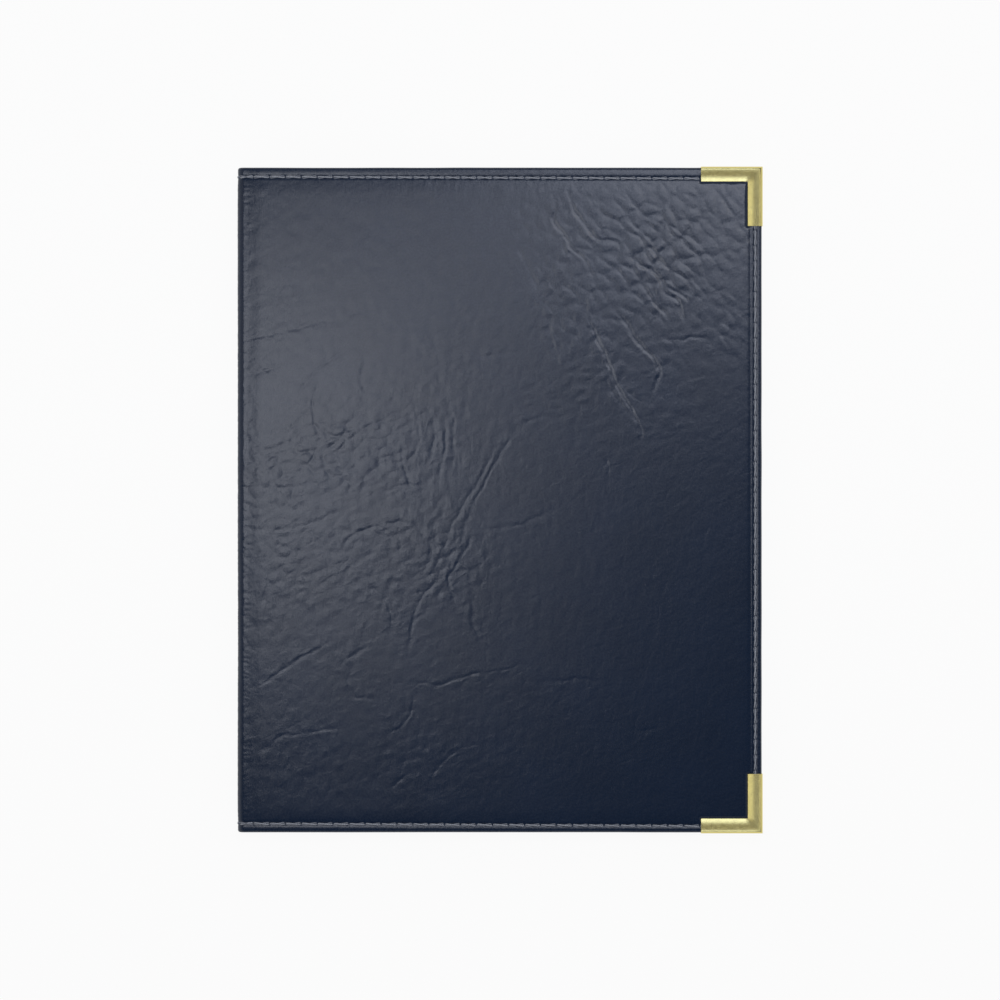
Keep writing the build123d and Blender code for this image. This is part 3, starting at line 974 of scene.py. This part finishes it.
def fold_sheet(side, face_y):
    """Points, faces and unrolled places of the leatherette round one crease, up to mid-spine."""
    rings, places = [], []
    for s in STATIONS:
        drop, thickness = float(sink(s)), FOLD_STACK + float(sink(s))
        outer_depth = drop - relief(np.full(len(face_y), s), np.array(face_y), side)
        ring = [(y, depth) for y, depth in zip(face_y, outer_depth)]
        profile = edge_rows(thickness, drop)
        for edge, outward in (("head", 1), ("foot", -1)):
            turned = []
            for row, (inset, level) in enumerate(profile):
                if FIRST_HEM_ROW <= row < len(profile) - ROWS_INSIDE:
                    level -= hem_dent(inset, hem_seam_inset(s, edge))
                wave = edge_wave(s, outward * face_y[-1], inset)
                turned.append((outward * (HALF_HEIGHT - inset + wave), level))
            ring += turned if outward > 0 else turned[::-1]
        placed = []
        for y, depth in ring:
            x, level = fold_point(s, depth)
            placed.append((x, y, level))
            places.append((s, y, depth))
        rings.append(placed)
    points, faces = closed_sweep(rings)
    return points, faces, places


def leatherette(tree):
    """Embossed vinyl: navy, satin, with fine wrinkles drawn out three ways and a grain of pores."""
    place = add_node(tree, "ShaderNodeAttribute", attribute_name="sheet_mm").outputs["Vector"]
    strength = add_node(tree, "ShaderNodeAttribute", attribute_name="wrinkling").outputs["Vector"]
    strengths = add_node(tree, "ShaderNodeSeparateXYZ", {"Vector": strength})
    height = 0.0
    for axis, turn, length, width in WRINKLES:
        drawn_out = add_node(
            tree, "ShaderNodeMapping",
            {"Vector": place, "Rotation": (0, 0, math.radians(turn)), "Scale": (length, width, width)},
            vector_type="TEXTURE",
        )
        folds = add_node(
            tree, "ShaderNodeTexNoise",
            {"Vector": drawn_out, "Scale": 1.0, "Detail": 1.0, "Distortion": 0.5},
        )
        height = add_node(
            tree, "ShaderNodeMath", {0: folds, 1: strengths.outputs[axis], 2: height},
            operation="MULTIPLY_ADD",
        )
    pores = add_node(
        tree, "ShaderNodeTexNoise",
        {"Vector": place, "Scale": 0.9, "Detail": 5.0, "Roughness": 0.65},
    )
    clouds = add_node(tree, "ShaderNodeTexNoise", {"Vector": place, "Scale": 0.03, "Detail": 3.0})
    grain = add_node(tree, "ShaderNodeBump", {"Height": pores, "Strength": 1.0, "Distance": 0.035 * MM})
    embossed = add_node(
        tree, "ShaderNodeBump",
        {"Height": height, "Strength": 1.0, "Distance": 0.18 * MM, "Normal": grain},
    )
    colour = add_node(
        tree, "ShaderNodeMix",
        {"Factor": clouds, "A": linear("#0B1B30"), "B": linear("#12233B")},
        data_type="RGBA",
    )
    rough = add_node(tree, "ShaderNodeMapRange", {"Value": pores, "To Min": 0.22, "To Max": 0.33})
    return {"Base Color": colour, "Roughness": rough, "Normal": embossed, "IOR": 1.50}


navy_vinyl = new_material("navy_embossed_vinyl", leatherette)


def dress(piece, places, side):
    """Stores the unrolled place of every point, in millimetres, and how wrinkled the sheet is there."""
    unrolled = np.asarray(places, np.float32)
    patched = np.stack(wrinkling(unrolled[:, 0], unrolled[:, 1], side), -1)
    strengths = LEAST_WRINKLING + ADDED_WRINKLING * patched
    for name, values in (("sheet_mm", unrolled), ("wrinkling", strengths)):
        stored = piece.data.attributes.new(name, "FLOAT_VECTOR", "POINT")
        stored.data.foreach_set("vector", np.asarray(values, np.float32).ravel())


BEND_START = Vector((FOLD_X, 0, OUTER_Z)) * MM
BEND_END = Vector((SPINE_X + 0.15, 0, OUTER_Z + CREASE_RADIUS - 0.15)) * MM


def bend_with(piece, side):
    """Bakes the placement of a piece of the fold into its mesh; the ends of the bend are worked out but not
    used.
    """
    start, end = BEND_START.copy(), BEND_END.copy()
    if side == "front":
        start.z, end.z = 2 * MIDDLE_Z * MM - start.z, 2 * MIDDLE_Z * MM - end.z
        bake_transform(piece)
    else:
        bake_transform(piece)


for side in ("back", "front"):
    points, faces, places, face_y = panel_sheet(side)
    cover = make_piece(f"{side}_cover_leatherette", points, faces, side, navy_vinyl, 75)
    dress(cover, places, side)
    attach(cover, f"{side}_panel")
    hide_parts(f"{side}_leatherette")
    fold_points, fold_faces, fold_places = fold_sheet(side, face_y)
    fold = make_piece(f"{side}_fold_leatherette", fold_points, fold_faces, side, navy_vinyl, 75)
    dress(fold, fold_places, side)
    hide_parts(f"{side}_crease_leatherette", "spine_leatherette")
    bend_with(fold, side)
    bend_with(FOLD_LINING[side], side)


# Seams
# Two rows of lockstitch in grey polyester thread, one plied strand from each side, hold the hem,
# the pocket film and the cover together along the head, the fore-edge and the foot.

THREAD = 0.62
THREAD_DEPTH = 0.04
HEM_PULL = 0.04
PLY_SWING = 0.75
HIDDEN_RUN = 3.0


def sewing_thread(tree):
    """Grey spun polyester, with painted shade: one ply and the grooves of the twist are painted darker."""
    ply = add_node(tree, "ShaderNodeAttribute", attribute_name="ply").outputs["Fac"]
    place = add_node(tree, "ShaderNodeTexCoord").outputs["Object"]
    twist = add_node(
        tree, "ShaderNodeTexWave", {"Vector": place, "Scale": 0.9 / MM, "Distortion": 1.0},
        bands_direction="DIAGONAL",
    )
    # Painted shade: the second ply takes a darker grey than the first, standing in for the shaded side of
    # the stitch
    strand = add_node(
        tree, "ShaderNodeMix",
        {"Factor": ply, "A": linear("#ADB1BA"), "B": linear("#767B86")},
        data_type="RGBA",
    )
    # Painted shade: the colour turns a deeper grey where the twist bump is low, in the grooves between the
    # twists
    colour = add_node(
        tree, "ShaderNodeMix",
        {"Factor": twist, "A": linear("#676C77"), "B": strand.outputs[2]},
        data_type="RGBA",
    )
    bump = add_node(tree, "ShaderNodeBump", {"Height": twist, "Strength": 0.5, "Distance": 0.08 * MM})
    return {
        "Base Color": colour, "Roughness": 0.65, "Normal": bump,
        "Sheen Weight": 0.15, "Sheen Roughness": 0.5,
    }


def stitch_row_tree(material):
    """A node tree that lays one stitch of two crossing plies at each step along the edges it is given."""
    tree = bpy.data.node_groups.new("row_of_stitches", "GeometryNodeTree")
    tree.interface.new_socket("Path", in_out="INPUT", socket_type="NodeSocketGeometry")
    for name in ("Pitch", "Length", "Ply", "Swing", "Slant"):
        tree.interface.new_socket(name, in_out="INPUT", socket_type="NodeSocketFloat")
    tree.interface.new_socket("Stitches", in_out="OUTPUT", socket_type="NodeSocketGeometry")
    given = add_node(tree, "NodeGroupInput").outputs
    run = add_node(tree, "GeometryNodeMeshToCurve", {"Mesh": given["Path"]})
    steps = add_node(
        tree, "GeometryNodeCurveToPoints", {"Curve": run, "Length": given["Pitch"]},
        mode="LENGTH",
    )
    outward = add_node(
        tree, "GeometryNodeInputNamedAttribute", {"Name": "outward"},
        data_type="FLOAT_VECTOR",
    )
    along = add_node(
        tree, "FunctionNodeAxesToRotation",
        {"Primary Axis": steps.outputs["Tangent"], "Secondary Axis": outward},
        primary_axis="X", secondary_axis="Z",
    )
    uneven = add_node(
        tree, "FunctionNodeRandomValue",
        {"Min": (-0.05, -0.02, -0.025), "Max": (0.05, 0.02, 0.025), "Seed": 7},
        data_type="FLOAT_VECTOR",
    )
    slant = add_node(tree, "ShaderNodeCombineXYZ", {"Z": given["Slant"]})
    turned = add_node(tree, "ShaderNodeVectorMath", {0: slant, 1: uneven}, operation="ADD")
    pose = add_node(
        tree, "FunctionNodeRotateRotation",
        {"Rotation": along, "Rotate By": add_node(tree, "FunctionNodeEulerToRotation", {"Euler": turned})},
        rotation_space="LOCAL",
    )
    radius = add_node(tree, "ShaderNodeMath", {0: given["Ply"], 1: 0.5}, operation="MULTIPLY")
    half = add_node(tree, "ShaderNodeMath", {0: given["Length"], 1: 0.5}, operation="MULTIPLY")
    both = add_node(tree, "GeometryNodeJoinGeometry")
    for number, across in enumerate((1, -1)):
        swing = add_node(tree, "ShaderNodeMath", {0: given["Swing"], 1: across}, operation="MULTIPLY")
        corners = []
        for share, sideways, up in ((-1, 0.4, -1.4), (-0.86, 1, 0.9), (0.86, -1, 0.9), (1, -0.4, -1.4)):
            lift = up + 0.35 * across * (abs(share) < 1)
            corner = add_node(tree, "ShaderNodeCombineXYZ", {
                "X": add_node(tree, "ShaderNodeMath", {0: half, 1: share}, operation="MULTIPLY"),
                "Y": add_node(tree, "ShaderNodeMath", {0: swing, 1: sideways}, operation="MULTIPLY"),
                "Z": add_node(tree, "ShaderNodeMath", {0: radius, 1: lift}, operation="MULTIPLY"),
            })
            corners.append(corner)
        line = add_node(tree, "GeometryNodeCurvePrimitiveBezierSegment", {
            "Resolution": 7, "Start": corners[0], "Start Handle": corners[1],
            "End Handle": corners[2], "End": corners[3],
        })
        ring = add_node(tree, "GeometryNodeCurvePrimitiveCircle", {"Resolution": 6, "Radius": radius})
        strand = add_node(
            tree, "GeometryNodeCurveToMesh",
            {"Curve": line, "Profile Curve": ring, "Fill Caps": True},
        )
        marked = add_node(
            tree, "GeometryNodeStoreNamedAttribute",
            {"Geometry": strand, "Name": "ply", "Value": float(number)},
        )
        tree.links.new(marked.outputs[0], both.inputs[0])
    smooth = add_node(tree, "GeometryNodeSetShadeSmooth", {"Geometry": both})
    laid = add_node(
        tree, "GeometryNodeInstanceOnPoints",
        {"Points": steps.outputs["Points"], "Instance": smooth, "Rotation": pose},
    )
    real = add_node(tree, "GeometryNodeRealizeInstances", {"Geometry": laid})
    finished = add_node(tree, "GeometryNodeSetMaterial", {"Geometry": real, "Material": material})
    add_node(tree, "NodeGroupOutput", {"Stitches": finished})
    return tree


def seam_runs():
    """Ends of the three straight rows, each starting at the middle of a stitch."""
    last_x = FORE_X - HEAD_LEG + BRASS + HIDDEN_RUN
    first_x = FIRST_HOLE + 1.5 * STITCH_PITCH
    last_y = HALF_HEIGHT - FORE_LEG + BRASS + HIDDEN_RUN
    steps = math.floor(last_y / STITCH_PITCH)
    rows = [[(x, float(seam_line(edge, x))) for x in (first_x, last_x)] for edge in ("head", "foot")]
    rows.append([(FORE_X - FORE_SEAM, sign * steps * STITCH_PITCH) for sign in (-1, 1.0001)])
    return rows


def stitch_row(name, side, inner, material, tree):
    """One mesh of all the straight rows of stitches on one face of a cover."""
    points, edges = [], []
    for start, end in seam_runs():
        first = len(points)
        for x, y in np.linspace(start, end, 121):
            if inner:
                level = float(hem_height(x)) - THREAD_DEPTH - HEM_PULL
            else:
                level = float(sink(x)) + THREAD_DEPTH + float(pressed_by_guard(x, y))
            points.append((x, y, level))
        edges += [(k, k + 1) for k in range(first, len(points) - 1)]
    path = bpy.data.meshes.new(name)
    path.from_pydata(in_frame(points, side).tolist(), edges, [])
    outward = -1.0 if (side == "back") != inner else 1.0
    directions = path.attributes.new("outward", "FLOAT_VECTOR", "POINT")
    directions.data.foreach_set("vector", [0.0, 0.0, outward] * len(points))
    holder = bpy.data.objects.new(name, path)
    bpy.context.scene.collection.objects.link(holder)
    nodes = holder.modifiers.new("stitches", "NODES")
    nodes.node_group = tree
    sizes = {
        "Pitch": STITCH_PITCH * MM, "Length": STITCH_LENGTH * MM, "Ply": THREAD * MM,
        "Swing": PLY_SWING * MM, "Slant": 0.05,
    }
    for item in tree.interface.items_tree:
        if item.name in sizes:
            nodes[item.identifier] = sizes[item.name]
    evaluated = holder.evaluated_get(bpy.context.evaluated_depsgraph_get())
    plain = bpy.data.meshes.new_from_object(evaluated)
    holder.modifiers.remove(nodes)
    holder.data = plain
    return holder


def ply_run(points, radius, swing, number):
    """Points and faces of one strand that swings across a path given with its frames."""
    rings = []
    count = len(points)
    for k, (place, forward, outward) in enumerate(points):
        share = k / (count - 1)
        sideways = np.cross(outward, forward)
        across = swing * math.cos(math.pi * share) * (1 if number == 0 else -1)
        dip = 1.5 * radius * (abs(2 * share - 1) ** 6)
        middle = place + sideways * across - outward * dip
        ring = []
        for angle in np.linspace(0, 2 * math.pi, 6, endpoint=False):
            ring.append(middle + radius * (math.cos(angle) * sideways + math.sin(angle) * outward))
        rings.append(ring)
    return closed_sweep(rings)


def fold_stitches(side, inner):
    """Points, faces and ply marks of the stitches that go round one half of the spine."""
    points, faces, plies = [], [], []
    half = STITCH_LENGTH / 2
    next_middle = SPINE_MIDDLE + STITCH_PITCH
    runs = [(SPINE_MIDDLE, SPINE_MIDDLE + half), (next_middle - half, next_middle + half)]
    for edge in ("head", "foot"):
        for low, high in runs:
            steps = []
            for s in np.linspace(low, high, 13):
                drop = float(sink(s))
                level = FOLD_STACK + drop - THREAD_DEPTH - HEM_PULL if inner else drop + THREAD_DEPTH
                here, ahead = fold_point(s, level), fold_point(s + 0.01, level)
                deeper = fold_point(s, level + (0.01 if inner else -0.01))
                y = float(seam_line(edge, s))
                forward = np.array([ahead[0] - here[0], 0, ahead[1] - here[1]])
                outward = np.array([deeper[0] - here[0], 0, deeper[1] - here[1]])
                steps.append((
                    np.array([here[0], y, here[1]]),
                    forward / np.linalg.norm(forward), outward / np.linalg.norm(outward),
                ))
            for number in (0, 1):
                strand, strand_faces = ply_run(steps, THREAD / 2, PLY_SWING * 0.5, number)
                faces += [[corner + len(points) for corner in face] for face in strand_faces]
                points += strand.tolist()
                plies += [float(number)] * len(strand)
    return points, faces, plies


grey_thread = new_material("grey_polyester_thread", sewing_thread)
stitches = stitch_row_tree(grey_thread)
for side in ("back", "front"):
    fold_rows = []
    for row, inner in (("needle", False), ("bobbin", True)):
        straight = stitch_row(f"{side}_{row}_stitches", side, inner, grey_thread, stitches)
        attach(straight, f"{side}_panel")
        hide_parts(f"{side}_{row}_thread")
        points, faces, plies = fold_stitches(side, inner)
        bent = make_piece(f"{side}_fold_{row}_stitches", points, faces, side, grey_thread)
        bent.data.attributes.new("ply", "FLOAT", "POINT").data.foreach_set("value", plies)
        bend_with(bent, side)
        fold_rows.append(bent)
    for piece in fold_rows:
        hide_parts(f"{side}_crease_thread", "spine_thread")


# Brass corner guards
# Each corner away from the spine is capped by a guard folded from thin brass sheet, pressed
# over the leatherette. Its outer flange is crowned, and the two legs meet in a mitre.

FLANGE_CHAMFER = 0.08
FILED_EDGE = 0.07


def arc_points(centre, radius, start, end, steps):
    """Points on an arc about a centre, between two angles in degrees."""
    angles = np.radians(np.linspace(start, end, steps + 1))
    return [(centre[0] + radius * math.cos(a), centre[1] + radius * math.sin(a)) for a in angles]


def guard_outline():
    """Section of the guard as inset and depth: its outer surface, then its inner one back again."""
    reach, fall = FLANGE_REACH - CROWN_FLAT[1], CROWN + FLANGE_DIG
    bow = (reach ** 2 + fall ** 2) / (2 * fall)
    outer = []
    for inset in np.linspace(FLANGE_REACH, CROWN_FLAT[1], 19):
        run = inset - CROWN_FLAT[1]
        outer.append((inset, bow - math.sqrt(bow ** 2 - run ** 2) - CROWN))
    roll = arc_points((OUTER_ROLL - BRASS, OUTER_ROLL - CROWN), OUTER_ROLL, 270, 180, 10)
    turn = arc_points((INNER_ROLL - BRASS, GUARD_INNER - INNER_ROLL), INNER_ROLL, 180, 90, 6)
    face = outer + roll + turn + [(FLANGE_REACH - FLANGE_CHAMFER, GUARD_INNER)]
    face.append((FLANGE_REACH, GUARD_INNER - FLANGE_CHAMFER))
    under = [(FLANGE_REACH, GUARD_INNER - BRASS)]
    under += arc_points((INNER_ROLL - BRASS, GUARD_INNER - INNER_ROLL), INNER_ROLL - BRASS, 90, 180, 3)
    under += arc_points((OUTER_ROLL - BRASS, OUTER_ROLL - CROWN), OUTER_ROLL - BRASS, 180, 270, 5)
    under += [(inset, depth + BRASS) for inset, depth in outer[::-3]]
    return face + under


def brass(tree):
    """Polished brass: warm and clear, with faint marks of handling and a slightly dulled lacquer."""
    place = add_node(tree, "ShaderNodeTexCoord").outputs["Object"]
    handling = add_node(
        tree, "ShaderNodeTexNoise",
        {"Vector": place, "Scale": 0.5 / MM, "Detail": 5.0, "Roughness": 0.6},
    )
    cloud = add_node(tree, "ShaderNodeTexNoise", {"Vector": place, "Scale": 0.06 / MM, "Detail": 2.0})
    rough = add_node(tree, "ShaderNodeMapRange", {"Value": handling, "To Min": 0.16, "To Max": 0.30})
    lines = add_node(
        tree, "ShaderNodeBump", {"Height": handling, "Strength": 0.08, "Distance": 0.1 * MM},
    )
    colour = add_node(
        tree, "ShaderNodeMix",
        {"Factor": cloud, "A": linear("#DFD083"), "B": linear("#E9DC96")},
        data_type="RGBA",
    )
    return {"Base Color": colour, "Metallic": 1.0, "Roughness": rough, "Normal": lines}


polished_brass = new_material("polished_brass_sheet", brass)


def guard_rings():
    """Sections of the guard along both legs, from the end of the head leg round the mitre."""
    outline = guard_outline()
    rings = []
    for back in np.linspace(HEAD_LEG - BRASS, 0, 10)[:-1]:
        share = max(0.0, 1 - back / (HEAD_LEG - BRASS))
        rings.append([
            (FORE_X - back - inset * share, HALF_HEIGHT - inset, depth) for inset, depth in outline
        ])
    rings.append([(FORE_X - inset, HALF_HEIGHT - inset, depth) for inset, depth in outline])
    for back in np.linspace(0, FORE_LEG - BRASS, 10)[1:]:
        share = max(0.0, 1 - back / (FORE_LEG - BRASS))
        rings.append([
            (FORE_X - inset, HALF_HEIGHT - back - inset * share, depth) for inset, depth in outline
        ])
    return rings


guards = bpy.data.collections.new("brass_guards")
for side in ("back", "front"):
    for end, flip in (("head", 1), ("foot", -1)):
        points, faces = closed_sweep(guard_rings())
        points[:, 1] *= flip
        guard = make_piece(f"{side}_{end}_guard", points, faces, side, polished_brass, 30)
        edge = guard.modifiers.new("filed edges", "BEVEL")
        edge.width = FILED_EDGE * MM
        edge.segments = 2
        edge.limit_method = "ANGLE"
        edge.angle_limit = math.radians(50)
        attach(guard, f"{side}_panel")
        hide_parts(f"{side}_{end}_corner")
        guards.objects.link(guard)


# Floor, light and camera
# The cover lies on a white table top, seen from straight above. Four soft lamps light it, and
# cards high above it light the brass alone. The sky is dim overhead and bright at its rim.

FLOOR_REACH = 6.0
TABLE_GLOW = 0.93
RIM_LIGHT = 0.85
OVERHEAD_LIGHT = 0.02

# The sky fades between these heights, as the sine of the angle above the horizon
FADE_START = 0.40
FADE_END = 0.90

floor_corners = [(x * FLOOR_REACH, y * FLOOR_REACH, 0) for x, y in ((-1, -1), (1, -1), (1, 1), (-1, 1))]
floor_mesh = bpy.data.meshes.new("table_top")
floor_mesh.from_pydata(floor_corners, [], [(0, 1, 2, 3)])
table_top = bpy.data.objects.new("table_top", floor_mesh)
bpy.context.scene.collection.objects.link(table_top)
white = bpy.data.materials.new("white_table")
white.use_nodes = True
tree = white.node_tree
tree.nodes.clear()
ray = add_node(tree, "ShaderNodeLightPath").outputs
seen = add_node(
    tree, "ShaderNodeMath", {0: ray["Is Camera Ray"], 1: ray["Is Glossy Ray"]},
    operation="MAXIMUM",
)
shown = add_node(
    tree, "ShaderNodeMath", {0: seen, 1: ray["Is Transmission Ray"]},
    operation="MAXIMUM",
)
glow = add_node(tree, "ShaderNodeEmission", {"Color": (1, 1, 1, 1), "Strength": 1.0})
matte = add_node(tree, "ShaderNodeBsdfDiffuse", {"Color": linear("#E8E8E8")})
part = add_node(tree, "ShaderNodeMath", {0: shown, 1: TABLE_GLOW}, operation="MULTIPLY")
both = add_node(tree, "ShaderNodeMixShader", {0: part, 1: matte, 2: glow})
add_node(tree, "ShaderNodeOutputMaterial", {"Surface": both})
floor_mesh.materials.append(white)

world = bpy.data.worlds.new("studio")
bpy.context.scene.world = world
world.use_nodes = True
tree = world.node_tree
tree.nodes.clear()
ray = add_node(tree, "ShaderNodeLightPath").outputs
through = add_node(
    tree, "ShaderNodeMath", {0: ray["Is Camera Ray"], 1: ray["Is Transmission Ray"]},
    operation="MAXIMUM",
)
direction = add_node(tree, "ShaderNodeTexCoord").outputs["Generated"]
upward = add_node(tree, "ShaderNodeSeparateXYZ", {"Vector": direction}).outputs["Z"]
dim = add_node(tree, "ShaderNodeMapRange", {
    "Value": upward, "From Min": FADE_START, "From Max": FADE_END,
    "To Min": RIM_LIGHT, "To Max": OVERHEAD_LIGHT,
})
strength = add_node(tree, "ShaderNodeMix", {"Factor": through, "A": dim, "B": 1.0}, data_type="FLOAT")
sky = add_node(tree, "ShaderNodeBackground", {"Color": (1, 1, 1, 1), "Strength": strength})
add_node(tree, "ShaderNodeOutputWorld", {"Surface": sky})


def soft_lamp(name, place, size, radiance, colour, towards, guards_only):
    """A square lamp of an even brightness, which lights either the brass guards or all the rest."""
    lamp = bpy.data.lights.new(name, "AREA")
    lamp.color = colour
    lamp.shape = "SQUARE"
    lamp.size = size
    lamp.energy = radiance * math.pi * size ** 2
    holder = bpy.data.objects.new(name, lamp)
    holder.location = place
    holder.rotation_euler = (Vector(place) - Vector(towards)).to_track_quat("Z", "Y").to_euler()
    holder.visible_camera = False
    bpy.context.scene.collection.objects.link(holder)
    lit = bpy.data.collections.new(name)
    holder.light_linking.receiver_collection = lit
    for guard in guards.objects:
        lit.objects.link(guard)
    for entry in lit.collection_objects:
        entry.light_linking.link_state = "INCLUDE" if guards_only else "EXCLUDE"


# Each lamp hangs level above a place on the table: the place, then its size, brightness and colour
LAMP_HEIGHT = 0.90
LAMPS = {
    "left_lamp": ((-0.184, 0.050), 0.28, 4.75, (0.925, 0.945, 1.01)),
    "head_lamp": ((0.165, 0.320), 0.32, 4.15, (0.93, 0.985, 1.15)),
    "ridge_lamp": ((0.325, 0.368), 0.16, 10.5, (1.0, 0.97, 0.95)),
    "spine_lamp": ((-0.760, 0.180), 0.56, 0.45, (1.0, 0.90, 0.80)),
}
for name, ((x, y), size, radiance, colour) in LAMPS.items():
    soft_lamp(name, (x, y, LAMP_HEIGHT), size, radiance, colour, (x, y, 0), False)

# The cards stand round the middle, a quarter turn apart: brightness, distance and colour
CARD_HEIGHT = 10.0
CARD_SIZE = 3.6
WHITE_CARD = (1.05, 3.4, (1.0, 1.0, 1.0))
BLUE_CARD = (2.7, 3.7, (0.66, 0.73, 1.0))
for number, (radiance, offset, colour) in enumerate((WHITE_CARD, BLUE_CARD, WHITE_CARD, BLUE_CARD)):
    angle = math.radians(90 * number)
    place = (offset * math.cos(angle), offset * math.sin(angle), CARD_HEIGHT)
    soft_lamp(f"brass_card_{number}", place, CARD_SIZE, radiance, colour, (0, 0, 0), True)
soft_lamp("brass_fill", (0, 0, CARD_HEIGHT), 5.5, 0.07, (1.0, 0.88, 0.60), (0, 0, 0), True)

# The eye stands straight above, where the front cover has the scale of the photograph
LENS = 135.0
SENSOR = 36.0
PICTURE_WIDTH = PICTURE_PIXELS * PIXEL * MM
camera = bpy.data.cameras.new("camera")
camera.lens = LENS
camera.sensor_width = SENSOR
camera.clip_end = 50.0
eye = bpy.data.objects.new("camera", camera)
eye.location = (0, 0, 2 * MIDDLE_Z * MM + PICTURE_WIDTH * LENS / SENSOR)
bpy.context.scene.collection.objects.link(eye)
bpy.context.scene.camera = eye
bpy.context.scene.view_settings.view_transform = "Standard"
